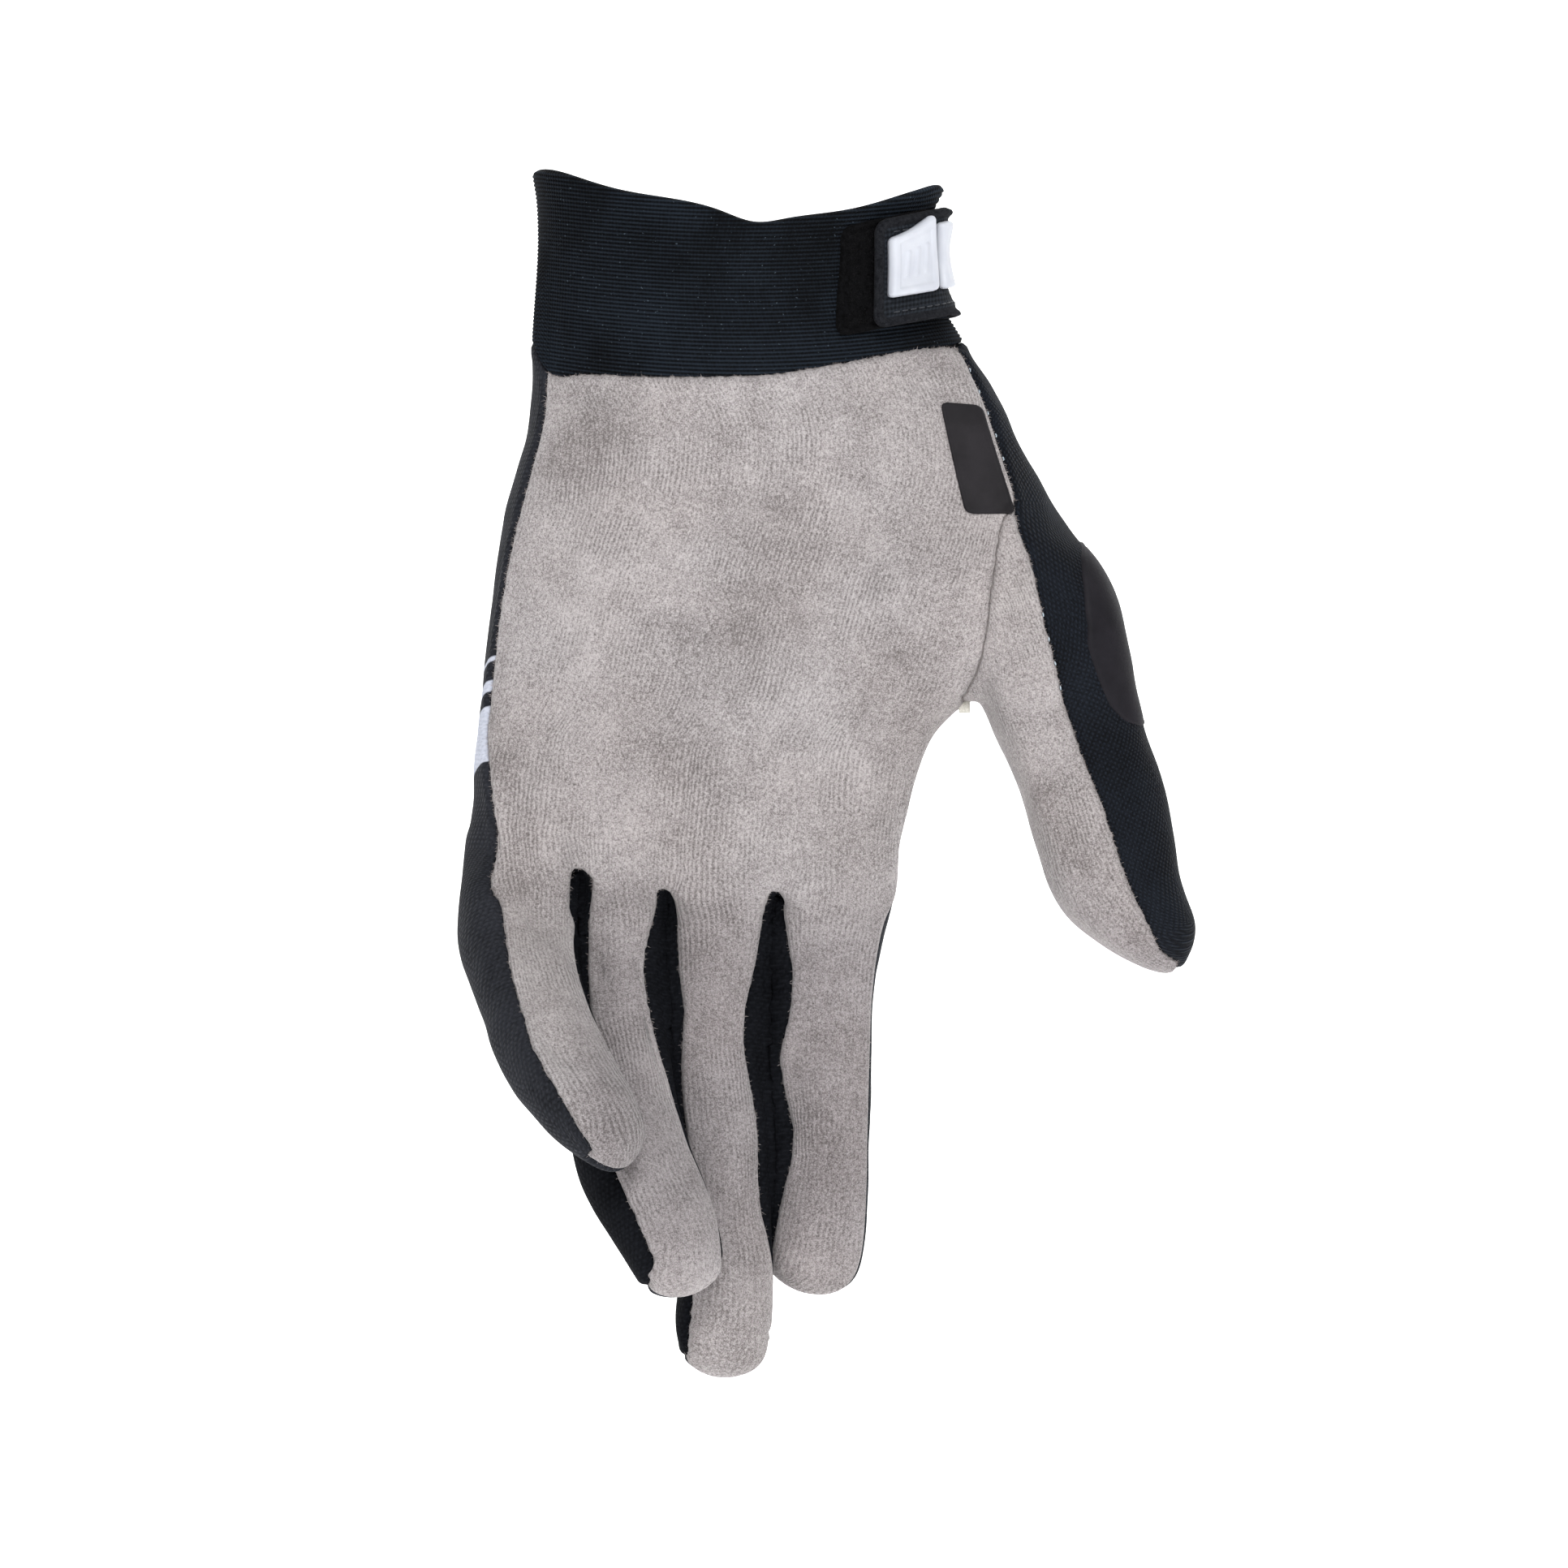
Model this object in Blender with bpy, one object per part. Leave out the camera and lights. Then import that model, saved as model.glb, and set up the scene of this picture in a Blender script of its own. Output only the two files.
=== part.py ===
"""A left motocross glove in its worn form, palm side towards -Y, fingers down, thumb towards +X.

The outer skin is one smooth surface, drawn through sections of the cuff, palm, fingers and thumb.
Each panel is a share of that skin with its own wall, cut free of its neighbours along the seams.
The origin is the middle of the wrist opening.
"""
import math
from collections import namedtuple

import bpy
import numpy
from mathutils import Vector
from mathutils.bvhtree import BVHTree

for item in list(bpy.data.objects):
    bpy.data.objects.remove(item, do_unlink=True)

# Cuff and palm, in metres
CUFF_HEIGHT = 0.0373
CUFF_WIDTH = 0.080
CUFF_DEPTH = 0.046
PALM_LENGTH = 0.101
PALM_DEPTH = 0.039
WEB_WIDTH = 0.0010

# Fingers: drop from the crotch line to the tip, greatest width, depth at the root
LITTLE_LENGTH = 0.051
LITTLE_WIDTH = 0.0215
LITTLE_DEPTH = 0.0165
RING_LENGTH = 0.076
RING_WIDTH = 0.020
RING_DEPTH = 0.017
MIDDLE_LENGTH = 0.0932
MIDDLE_WIDTH = 0.020
MIDDLE_DEPTH = 0.0175
INDEX_LENGTH = 0.0775
INDEX_WIDTH = 0.0215
INDEX_DEPTH = 0.018
INDEX_REACH = 0.006
MIDDLE_REACH = 0.015
FINGER_CLEARANCE = 0.0006

# Thumb, from the middle of its opening in the palm to its tip
THUMB_LENGTH = 0.0807
THUMB_WIDTH = 0.028
THUMB_DEPTH = 0.023
THUMB_REACH = 0.014
THUMB_SPLAY = 24.4

# Walls, and the gap along every seam
SUEDE_WALL = 0.0012
KNIT_WALL = 0.0014
CUFF_WALL = 0.0020
SEAM_GAP = 0.0003
SEAT_GAP = 0.0004
BADGE_SEAT_GAP = 0.0008
OVERLAY_SEAT_GAP = 0.0008

# Closure: lengths round the cuff are measured from its thumb edge
PATCH_START = 0.0285
PATCH_END = 0.004
PATCH_HEIGHT = 0.0215
PATCH_WALL = 0.0011
STRAP_REACH = 0.0200
STRAP_TAIL = 0.040
STRAP_HEIGHT = 0.0212
STRAP_WALL = 0.0017
STRAP_TILT = 12.0
BADGE_START = 0.0176
BADGE_END = 0.0035
BADGE_HEIGHT = 0.0160
BADGE_WALL = 0.0014
BADGE_BAR_WIDTH = 0.0045
BADGE_BAR_GAP = 0.0016
CORNER_RADIUS = 0.0028

# Flat trim on the palm and the thumb
LABEL_HEIGHT = 0.0215
LABEL_WIDTH = 0.0088
LABEL_WALL = 0.0006
LABEL_CORNER = 0.0014
LABEL_INSET = 0.0006
OVERLAY_LENGTH = 0.036
OVERLAY_TURN = 46.0
OVERLAY_WALL = 0.0006

# How square the finger and thumb sections are: 1 is an ellipse, less is squarer
SQUARENESS = 0.85
# How far the cage is moved at each pass of drawing the skin through the wanted points
FIT_PASSES = 8
FIT_STEP = 0.9
# Where the trim's grid lines lie inside a rounded corner, as shares of its radius
CORNER_STEPS = (0.0, 0.3, 1.0)
BAR_CORNER_SHARE = 0.3
WRAP_ROWS = 3
# How the label's side bends with the seam, and how much of the overlay lies above the root
LABEL_BEND = 1.4
OVERLAY_START = 0.02
# How far the web between two fingers rises from its edges, as a share of its width
WEB_RISE = 0.7
# Height of the closure's middle line under the origin, as a share of CUFF_HEIGHT
CLOSURE_LEVEL = 0.36
# Step in degrees of the rays that measure lengths round the cuff, and the sharp edges' angle
WRAP_STEP = 4
SHARP_ANGLE = 50
# The least the seam gap is divided by at a tight corner, so that no point moves too far
LEAST_SPREAD = 0.3

# Faces along each piece of trim, and down it where it isn't wrapped round the cuff
PATCH_COLUMNS = 9
STRAP_COLUMNS = 20
BADGE_COLUMNS = 7
BAR_COLUMNS = 4
LABEL_COLUMNS = 5
LABEL_ROWS = 5
OVERLAY_COLUMNS = 9
OVERLAY_ROWS = 10

FINGER_NAMES = ("little", "ring", "middle", "index")
FINGER_COLUMNS = 3
COLUMNS = FINGER_COLUMNS * len(FINGER_NAMES)

# The cuff's sections from its rim to the palm seam.
# down is a share of CUFF_HEIGHT, ulnar and radial of CUFF_WIDTH, depth of CUFF_DEPTH
CuffRow = namedtuple("CuffRow", "down ulnar radial depth")
CUFF_ROWS = (
    CuffRow(0.00, -0.514, 0.490, 1.00),
    CuffRow(0.45, -0.506, 0.447, 0.96),
    CuffRow(1.00, -0.520, 0.545, 0.90),
)
CUFF_SEAM_INSET = 0.04
CUFF_LIP = 0.34
CUFF_SQUARE = 2.2

# How far the rim and the seam rise above their lowest point, as shares of CUFF_HEIGHT,
# at stations across the glove from the little finger's side (0) to the thumb's side (1)
EdgeStation = namedtuple("EdgeStation", "across rim seam")
EDGE_STATIONS = (
    EdgeStation(0.00, 0.310, 0.050),
    EdgeStation(0.20, 0.175, 0.010),
    EdgeStation(0.40, 0.100, 0.000),
    EdgeStation(0.55, 0.000, 0.010),
    EdgeStation(0.70, 0.040, 0.060),
    EdgeStation(0.82, 0.085, 0.120),
    EdgeStation(1.00, 0.200, 0.200),
)
RIM_LEVEL = 0.205
SIDE_SEAM_RISE = 0.23

# The palm's sections from the cuff seam to the crotch line.
# down is a share of PALM_LENGTH; ulnar, ulnar_seam, radial_seam and radial of the hand's breadth,
# depth and lean of PALM_DEPTH; the lips are the seams' shares of the half depth, hollow is the
# dip of the palm's middle, fan spreads the columns from even to the fingers' own widths,
# rise lifts the little finger's side, and knuckle swells the back over each finger.
PalmRow = namedtuple("PalmRow", "down ulnar ulnar_seam radial_seam radial depth lean "
                     "ulnar_lip radial_lip hollow fan rise knuckle")
PALM_ROWS = (
    PalmRow(0.090, -0.503, -0.465, 0.600, 0.632, 1.04, 0.00, 0.45, 0.45, 0.04, 0.0, 0.00, 0.0),
    PalmRow(0.248, -0.552, -0.514, 0.641, 0.735, 1.06, 0.00, 0.42, 0.70, 0.12, 0.2, 0.00, 0.0),
    PalmRow(0.430, -0.590, -0.560, 0.583, 0.790, 1.02, 0.01, 0.40, 0.88, 0.16, 0.4, 0.00, 0.0),
    PalmRow(0.618, -0.606, -0.585, 0.502, 0.512, 0.93, 0.02, 0.36, 0.45, 0.14, 0.6, 0.00, 0.0),
    PalmRow(0.700, -0.613, -0.593, 0.420, 0.422, 0.88, 0.03, 0.36, 0.27, 0.10, 0.8, 0.01, 0.02),
    PalmRow(0.810, -0.626, -0.583, 0.379, 0.381, 0.81, 0.04, 0.55, 0.24, 0.06, 0.9, 0.03, 0.05),
    PalmRow(0.905, -0.637, -0.572, 0.352, 0.354, 0.74, 0.05, 0.66, 0.24, 0.03, 1.0, 0.05, 0.06),
    PalmRow(1.000, -0.654, -0.566, 0.341, 0.344, 0.66, 0.06, 0.76, 0.26, 0.00, 1.0, 0.095, 0.04),
)
PALM_SQUARE = 2.6
HOLLOW_POWER = 2
RISE_POWER = 1.5
FIRST_THUMB_ROW = 1
LAST_THUMB_ROW = 3

# Each finger's sections. down is a share of its length, across, width of its width (across is
# towards the thumb from its root's middle), curl of its reach to the palm side, depth of its
# depth, and roll is in degrees, with the palm side turning towards the thumb.
Section = namedtuple("Section", "down across curl width depth roll")
LITTLE_SECTIONS = (
    Section(0.105, -0.015, 0.175, 1.05, 1.06, 24),
    Section(0.29, 0.055, 0.40, 1.03, 1.00, 32),
    Section(0.515, 0.260, 0.66, 0.97, 0.95, 30),
    Section(0.73, 0.575, 0.90, 0.93, 0.90, 32),
    Section(0.90, 0.890, 0.98, 0.66, 0.66, 30),
    Section(1.00, 1.010, 1.00, 0.0, 0.0, 30),
)
RING_SECTIONS = (
    Section(0.093, -0.010, 0.09, 0.85, 1.02, 2),
    Section(0.228, -0.020, 0.21, 0.84, 0.97, 6),
    Section(0.38, -0.020, 0.39, 0.92, 0.93, 14),
    Section(0.533, 0.010, 0.57, 1.06, 0.92, 26),
    Section(0.685, 0.150, 0.75, 1.13, 0.92, 34),
    Section(0.84, 0.445, 0.90, 1.00, 0.85, 28),
    Section(0.95, 0.590, 0.95, 0.76, 0.62, 24),
    Section(1.00, 0.600, 0.96, 0.0, 0.0, 24),
)
MIDDLE_SECTIONS = (
    Section(0.085, -0.030, 0.13, 1.01, 1.02, 0),
    Section(0.23, -0.055, 0.29, 0.99, 1.00, 0),
    Section(0.38, -0.035, 0.45, 0.97, 0.97, 0),
    Section(0.53, 0.005, 0.61, 0.93, 0.95, 3),
    Section(0.685, 0.015, 0.77, 0.90, 0.92, 4),
    Section(0.83, 0.025, 0.91, 0.93, 0.86, 4),
    Section(0.95, 0.000, 0.98, 0.82, 0.62, 4),
    Section(1.00, -0.030, 1.00, 0.0, 0.0, 4),
)
INDEX_SECTIONS = (
    Section(0.09, -0.065, 0.15, 1.02, 1.02, -4),
    Section(0.27, -0.125, 0.35, 1.00, 1.00, -6),
    Section(0.44, -0.140, 0.55, 0.98, 0.97, -6),
    Section(0.62, -0.125, 0.70, 0.90, 0.95, -6),
    Section(0.80, -0.140, 0.88, 0.89, 0.90, -6),
    Section(0.94, -0.225, 1.00, 0.83, 0.66, -6),
    Section(1.00, -0.300, 1.00, 0.0, 0.0, -6),
)
RING_SHARE_BEHIND_LITTLE = 0.74

# Width of each finger's root, as a share of the finger's width
ROOT_SHARES = {"little": 1.08, "ring": 0.79, "middle": 1.03, "index": 1.02}
# How far a root's two edges lie inside its width, as a share of that width
ROOT_INSET = 0.08

# Angles of the eight points round a finger, from its thumb side towards its palm side
FINGER_ANGLES = (180, 135, 90, 45, 0, -45, -90, -135)
INDEX_ANGLES = (180, 135, 85, 25, -12, -52, -92, -135)

# The thumb's sections, as the fingers' ones; turn tips the section towards the wrist, in degrees
ThumbSection = namedtuple("ThumbSection", "down across curl width depth turn roll")
THUMB_SECTIONS = (
    ThumbSection(0.138, 0.235, 0.25, 1.27, 1.30, 25, 0),
    ThumbSection(0.309, 0.181, 0.40, 1.05, 1.12, 5, 0),
    ThumbSection(0.450, 0.131, 0.55, 0.97, 1.02, 0, 0),
    ThumbSection(0.611, 0.073, 0.72, 0.99, 0.98, 0, -2),
    ThumbSection(0.773, 0.013, 0.86, 0.81, 0.86, 0, -2),
    ThumbSection(0.903, 0.093, 0.96, 0.56, 0.62, 0, 0),
    ThumbSection(0.995, 0.120, 1.00, 0.0, 0.0, 0, 0),
)
# Order round the thumb: outer side, three points of the back, inner side, three of the palm side
THUMB_ANGLES = (30, -20, -70, -120, -168, 150, 120, 85)
THUMB_SUEDE = (4, 5, 6)

Color = namedtuple("Color", "red green blue roughness")
SUEDE = Color(0.40, 0.37, 0.375, 0.92)
KNIT = Color(0.022, 0.024, 0.031, 0.85)
MESH_KNIT = Color(0.012, 0.015, 0.022, 0.85)
ELASTIC = Color(0.007, 0.010, 0.014, 0.80)
LOOP = Color(0.004, 0.004, 0.005, 0.95)
WEBBING = Color(0.008, 0.009, 0.012, 0.75)
RUBBER = Color(0.72, 0.74, 0.82, 0.45)
SMOOTH_PATCH = Color(0.025, 0.022, 0.027, 0.60)


Finger = namedtuple("Finger", "length width depth reach sections angles")


def finger_sizes():
    """Sizes and sections of each finger; each one curls clear of the finger behind it."""
    ring_reach = MIDDLE_REACH + (MIDDLE_DEPTH + RING_DEPTH) / 2 + FINGER_CLEARANCE
    little_reach = (ring_reach * RING_SHARE_BEHIND_LITTLE + (RING_DEPTH + LITTLE_DEPTH) / 2
                    + FINGER_CLEARANCE)
    return {
        "little": Finger(LITTLE_LENGTH, LITTLE_WIDTH, LITTLE_DEPTH, little_reach,
                         LITTLE_SECTIONS, FINGER_ANGLES),
        "ring": Finger(RING_LENGTH, RING_WIDTH, RING_DEPTH, ring_reach,
                       RING_SECTIONS, FINGER_ANGLES),
        "middle": Finger(MIDDLE_LENGTH, MIDDLE_WIDTH, MIDDLE_DEPTH, MIDDLE_REACH,
                         MIDDLE_SECTIONS, FINGER_ANGLES),
        "index": Finger(INDEX_LENGTH, INDEX_WIDTH, INDEX_DEPTH, INDEX_REACH,
                        INDEX_SECTIONS, INDEX_ANGLES),
    }


FINGERS = finger_sizes()
ROOT_WIDTHS = {name: FINGERS[name].width * ROOT_SHARES[name] for name in FINGER_NAMES}
HAND_BREADTH = sum(ROOT_WIDTHS.values()) + WEB_WIDTH * (len(FINGER_NAMES) - 1)


def root_spans():
    """Lowest and highest X of each finger's root on the crotch line."""
    spans = {}
    edge = PALM_ROWS[-1].ulnar * HAND_BREADTH
    for name in FINGER_NAMES:
        spans[name] = (edge, edge + ROOT_WIDTHS[name])
        edge += ROOT_WIDTHS[name] + WEB_WIDTH
    return spans


ROOT_SPANS = root_spans()


def knuckle_shares():
    """Where the twelve columns lie between the two seams on the crotch line, from 0 to 1."""
    first = PALM_ROWS[-1].ulnar_seam * HAND_BREADTH
    last = PALM_ROWS[-1].radial_seam * HAND_BREADTH
    places = []
    for name in FINGER_NAMES:
        low, high = ROOT_SPANS[name]
        inset = ROOT_INSET * (high - low)
        low = max(low + inset, first)
        high = min(high - inset, last)
        places += [low, (low + high) / 2, high]
    places[0] = first
    places[-1] = last
    return [(place - first) / (last - first) for place in places]


KNUCKLE_SHARES = knuckle_shares()


class Cage:
    """Wanted points of the skin, and the four-sided faces between them, each with its panel."""

    def __init__(self):
        self.points = []
        self.faces = []
        self.panels = []

    def point(self, place):
        self.points.append(Vector(place))
        return len(self.points) - 1

    def face(self, corners, panel):
        self.faces.append(tuple(corners))
        self.panels.append(panel)

    def band(self, upper, lower, panels):
        """Faces between two closed rings, with no face where the panel is None."""
        count = len(upper)
        for here in range(count):
            after = (here + 1) % count
            if panels[here] is not None:
                self.face((upper[here], lower[here], lower[after], upper[after]), panels[here])


def lerp(start, end, share):
    return start + (end - start) * share


def arch(across, lip, hollow, square):
    """Share of the half depth at a place across the hand: lip at the seams, 1 in between."""
    swell = 1 - abs(2 * across - 1) ** square
    dip = hollow * (1 - (2 * across - 1) ** 2) ** HOLLOW_POWER
    return lip + (1 - lip) * swell - dip


def hand_ring(cage, columns, half_depth, centre_y, sides, lips, hollow, square, knuckle, skip_side):
    """One closed ring of the hand: ulnar side, palm columns, radial side, back columns."""
    front = []
    back = []
    for number, (share, x, z) in enumerate(columns):
        lip = lips[0] if share < 0.5 else lips[1]
        ahead = arch(share, lip, hollow, square)
        behind = arch(share, lip, 0, square)
        if number % FINGER_COLUMNS == FINGER_COLUMNS // 2:
            behind += knuckle
        front.append(cage.point((x, centre_y - half_depth * ahead, z)))
        back.append(cage.point((x, centre_y + half_depth * behind, z)))
    ulnar = cage.point((sides[0][0], centre_y, sides[0][1]))
    radial = None if skip_side else cage.point((sides[1][0], centre_y, sides[1][1]))
    return [ulnar] + front + [radial] + back[::-1]


def edge_rise(across, column):
    stations = [station.across for station in EDGE_STATIONS]
    values = [getattr(station, column) for station in EDGE_STATIONS]
    return float(numpy.interp(across, stations, values))


def cuff_ring(cage, row):
    """A ring of the cuff, whose height goes over from the rim's outline to the seam's."""
    rim_low = -RIM_LEVEL * CUFF_HEIGHT
    seam_low = -CUFF_HEIGHT
    ulnar = row.ulnar * CUFF_WIDTH
    radial = row.radial * CUFF_WIDTH
    inset = CUFF_SEAM_INSET * CUFF_WIDTH

    def height(across, seam_extra):
        rim = rim_low + edge_rise(across, "rim") * CUFF_HEIGHT
        seam = seam_low + max(edge_rise(across, "seam"), seam_extra) * CUFF_HEIGHT
        return lerp(rim, seam, row.down)

    columns = []
    for number in range(COLUMNS):
        share = number / (COLUMNS - 1)
        columns.append((share, lerp(ulnar + inset, radial - inset, share), height(share, 0)))
    sides = ((ulnar, height(0, SIDE_SEAM_RISE)), (radial, height(1, SIDE_SEAM_RISE)))
    return hand_ring(cage, columns, row.depth * CUFF_DEPTH / 2, 0, sides,
                     (CUFF_LIP, CUFF_LIP), 0, CUFF_SQUARE, 0, False)


def palm_ring(cage, row, skip_side):
    """A ring of the palm and the back of the hand."""
    first = row.ulnar_seam * HAND_BREADTH
    last = row.radial_seam * HAND_BREADTH
    level = -CUFF_HEIGHT - row.down * PALM_LENGTH

    def height(across):
        return level + row.rise * PALM_LENGTH * max(0, 1 - 2 * across) ** RISE_POWER

    columns = []
    for number in range(COLUMNS):
        share = lerp(number / (COLUMNS - 1), KNUCKLE_SHARES[number], row.fan)
        columns.append((share, lerp(first, last, share), height(share)))
    sides = ((row.ulnar * HAND_BREADTH, height(0)), (row.radial * HAND_BREADTH, height(1)))
    return hand_ring(cage, columns, row.depth * PALM_DEPTH / 2, -row.lean * PALM_DEPTH, sides,
                     (row.ulnar_lip, row.radial_lip), row.hollow, PALM_SQUARE, row.knuckle,
                     skip_side)


def hand_panels(upper, lower):
    """The panel of each face between two rows of the palm, None where the thumb opens."""
    beside_thumb = upper >= FIRST_THUMB_ROW and lower <= LAST_THUMB_ROW
    above_thumb = lower <= FIRST_THUMB_ROW
    side = None if beside_thumb else "thumb_back_panel" if above_thumb else "back_panel"
    palm = ["palm_panel"] * (COLUMNS - 1)
    back = ["back_panel"] * (COLUMNS - 1)
    return ["back_panel"] + palm + [side, side] + back + ["back_panel"]


def shaped(value):
    return math.copysign(abs(value) ** SQUARENESS, value)


def section_ring(cage, centre, side, front, width, depth, angles):
    """Points round a section, at angles from its side direction towards its front."""
    ring = []
    for angle in angles:
        across = shaped(math.cos(math.radians(angle))) * width / 2
        ahead = shaped(math.sin(math.radians(angle))) * depth / 2
        ring.append(cage.point(centre + side * across + front * ahead))
    return ring


def rolled(side, front, degrees):
    angle = math.radians(degrees)
    turned_front = front * math.cos(angle) + side * math.sin(angle)
    turned_side = side * math.cos(angle) - front * math.sin(angle)
    return turned_side, turned_front


def add_cap(cage, ring, tip, first, panels):
    """Four faces that close a ring round its tip."""
    count = len(ring)
    for number in range(4):
        start = first + 2 * number
        corners = [ring[(start + step) % count] for step in (2, 1, 0)]
        cage.face(corners + [tip], panels[number])


def add_finger(cage, name, root, panels):
    """Rings from a root of eight points to the finger's tip."""
    finger = FINGERS[name]
    low, high = ROOT_SPANS[name]
    crotch = -CUFF_HEIGHT - PALM_LENGTH
    lean = PALM_ROWS[-1].lean * PALM_DEPTH
    start = Vector(((low + high) / 2, -lean, crotch))
    centres = [start]
    for row in finger.sections:
        offset = Vector((row.across * finger.width, -row.curl * finger.reach,
                         -row.down * finger.length))
        centres.append(start + offset)
    upper = root
    for number, row in enumerate(finger.sections[:-1], start=1):
        along = (centres[number + 1] - centres[number - 1]).normalized()
        side = along.cross(Vector((0, 1, 0))).normalized()
        front = along.cross(side)
        side, front = rolled(side, front, row.roll)
        ring = section_ring(cage, centres[number], side, front, row.width * finger.width,
                            row.depth * finger.depth, finger.angles)
        cage.band(upper, ring, panels)
        upper = ring
    tip = cage.point(centres[-1])
    add_cap(cage, upper, tip, 0, ("palm_panel", "palm_panel", "back_panel", "back_panel"))


def thumb_frame():
    """The middle of the thumb's opening, and the thumb's directions along and outwards."""
    middle = PALM_ROWS[(FIRST_THUMB_ROW + LAST_THUMB_ROW) // 2]
    root = Vector((middle.radial_seam * HAND_BREADTH, -middle.lean * PALM_DEPTH,
                   -CUFF_HEIGHT - middle.down * PALM_LENGTH))
    splay = math.radians(THUMB_SPLAY)
    return root, Vector((math.sin(splay), 0, -math.cos(splay))), splay


def thumb_centre(row):
    root, along, splay = thumb_frame()
    outwards = Vector((math.cos(splay), 0, math.sin(splay)))
    return (root + along * row.down * THUMB_LENGTH + outwards * row.across * THUMB_WIDTH
            + Vector((0, -row.curl * THUMB_REACH, 0)))


def add_thumb(cage, opening):
    """Rings from the opening in the hand's thumb side to the thumb's tip."""
    panels = ["thumb_palm_panel" if number in THUMB_SUEDE else "thumb_back_panel"
              for number in range(len(THUMB_ANGLES))]
    splay = thumb_frame()[2]
    upper = opening
    for row in THUMB_SECTIONS[:-1]:
        tilt = splay + math.radians(row.turn)
        side = Vector((math.cos(tilt), 0, math.sin(tilt)))
        side, front = rolled(side, Vector((0, -1, 0)), row.roll)
        ring = section_ring(cage, thumb_centre(row), side, front, row.width * THUMB_WIDTH,
                            row.depth * THUMB_DEPTH, THUMB_ANGLES)
        cage.band(upper, ring, panels)
        upper = ring
    tip = cage.point(thumb_centre(THUMB_SECTIONS[-1]))
    add_cap(cage, upper, tip, 1, ("thumb_back_panel", "thumb_palm_panel",
                                  "thumb_palm_panel", "thumb_back_panel"))


def add_webs(cage, ring):
    """The strips between the roots, and each finger's root of eight points."""
    front = ring[1:COLUMNS + 1]
    back = ring[COLUMNS + 2:][::-1]
    lean = PALM_ROWS[-1].lean * PALM_DEPTH
    left_sides = [ring[0]]
    right_sides = []
    for number in range(len(FINGER_NAMES) - 1):
        panel = f"fourchette_{FINGER_NAMES[number]}_{FINGER_NAMES[number + 1]}"
        edge = ROOT_SPANS[FINGER_NAMES[number]][1]
        column = FINGER_COLUMNS * (number + 1) - 1
        height = cage.points[front[column]].z + WEB_RISE * WEB_WIDTH
        right = cage.point((edge, -lean, height))
        left = cage.point((edge + WEB_WIDTH, -lean, height))
        cage.face((front[column], right, left, front[column + 1]), panel)
        cage.face((right, back[column], back[column + 1], left), panel)
        right_sides.append(right)
        left_sides.append(left)
    right_sides.append(ring[COLUMNS + 1])
    roots = []
    for number in range(len(FINGER_NAMES)):
        columns = slice(FINGER_COLUMNS * number, FINGER_COLUMNS * (number + 1))
        roots.append([left_sides[number]] + front[columns] + [right_sides[number]]
                     + back[columns][::-1])
    return roots


def finger_panels(number):
    """Panels of the eight faces round a finger, from its ulnar side over the palm side."""
    left = "back_panel"
    right = "back_panel"
    if number > 0:
        left = f"fourchette_{FINGER_NAMES[number - 1]}_{FINGER_NAMES[number]}"
    if number < len(FINGER_NAMES) - 1:
        right = f"fourchette_{FINGER_NAMES[number]}_{FINGER_NAMES[number + 1]}"
    palm = "palm_panel"
    back = "back_panel"
    return [left, palm, palm, right, right, back, back, left]


def build_cage():
    cage = Cage()
    rings = [cuff_ring(cage, row) for row in CUFF_ROWS]
    for upper, lower in zip(rings, rings[1:]):
        cage.band(upper, lower, ["cuff"] * len(upper))
    upper = rings[-1]
    palm_rings = []
    for number, row in enumerate(PALM_ROWS):
        lower = palm_ring(cage, row, FIRST_THUMB_ROW < number < LAST_THUMB_ROW)
        cage.band(upper, lower, hand_panels(number - 1, number))
        palm_rings.append(lower)
        upper = lower
    for number, root in enumerate(add_webs(cage, upper)):
        add_finger(cage, FINGER_NAMES[number], root, finger_panels(number))
    last_front = COLUMNS
    first_back = COLUMNS + 2
    opening_rows = palm_rings[FIRST_THUMB_ROW:LAST_THUMB_ROW + 1]
    backs = [ring[first_back] for ring in opening_rows]
    fronts = [ring[last_front] for ring in opening_rows[::-1]]
    outer = opening_rows[0][COLUMNS + 1]
    inner = opening_rows[-1][COLUMNS + 1]
    add_thumb(cage, [outer] + backs + [inner] + fronts)
    return cage


def smooth_skin(cage, points, panel_names):
    """The cage subdivided once, with its corners on the smooth surface."""
    mesh = bpy.data.meshes.new("skin")
    mesh.from_pydata(points, [], cage.faces)
    for polygon, panel in zip(mesh.polygons, cage.panels):
        polygon.material_index = panel_names.index(panel)
    for name in panel_names:
        mesh.materials.append(bpy.data.materials.get(name) or bpy.data.materials.new(name))
    guide = bpy.data.objects.new("skin_guide", mesh)
    bpy.context.scene.collection.objects.link(guide)
    subdivision = guide.modifiers.new("smooth", "SUBSURF")
    subdivision.levels = 1
    subdivision.render_levels = 1
    subdivision.use_limit_surface = True
    depsgraph = bpy.context.evaluated_depsgraph_get()
    smooth = bpy.data.meshes.new_from_object(guide.evaluated_get(depsgraph))
    bpy.data.objects.remove(guide, do_unlink=True)
    bpy.data.meshes.remove(mesh)
    return smooth


def fitted_skin(cage, panel_names):
    """The smooth skin whose surface passes through the cage's wanted points."""
    wanted = numpy.array([tuple(point) for point in cage.points])
    moved = wanted.copy()
    for _ in range(FIT_PASSES):
        skin = smooth_skin(cage, moved.tolist(), panel_names)
        found = numpy.array([tuple(skin.vertices[number].co) for number in range(len(wanted))])
        bpy.data.meshes.remove(skin)
        moved += (wanted - found) * FIT_STEP
    return smooth_skin(cage, moved.tolist(), panel_names)


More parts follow.
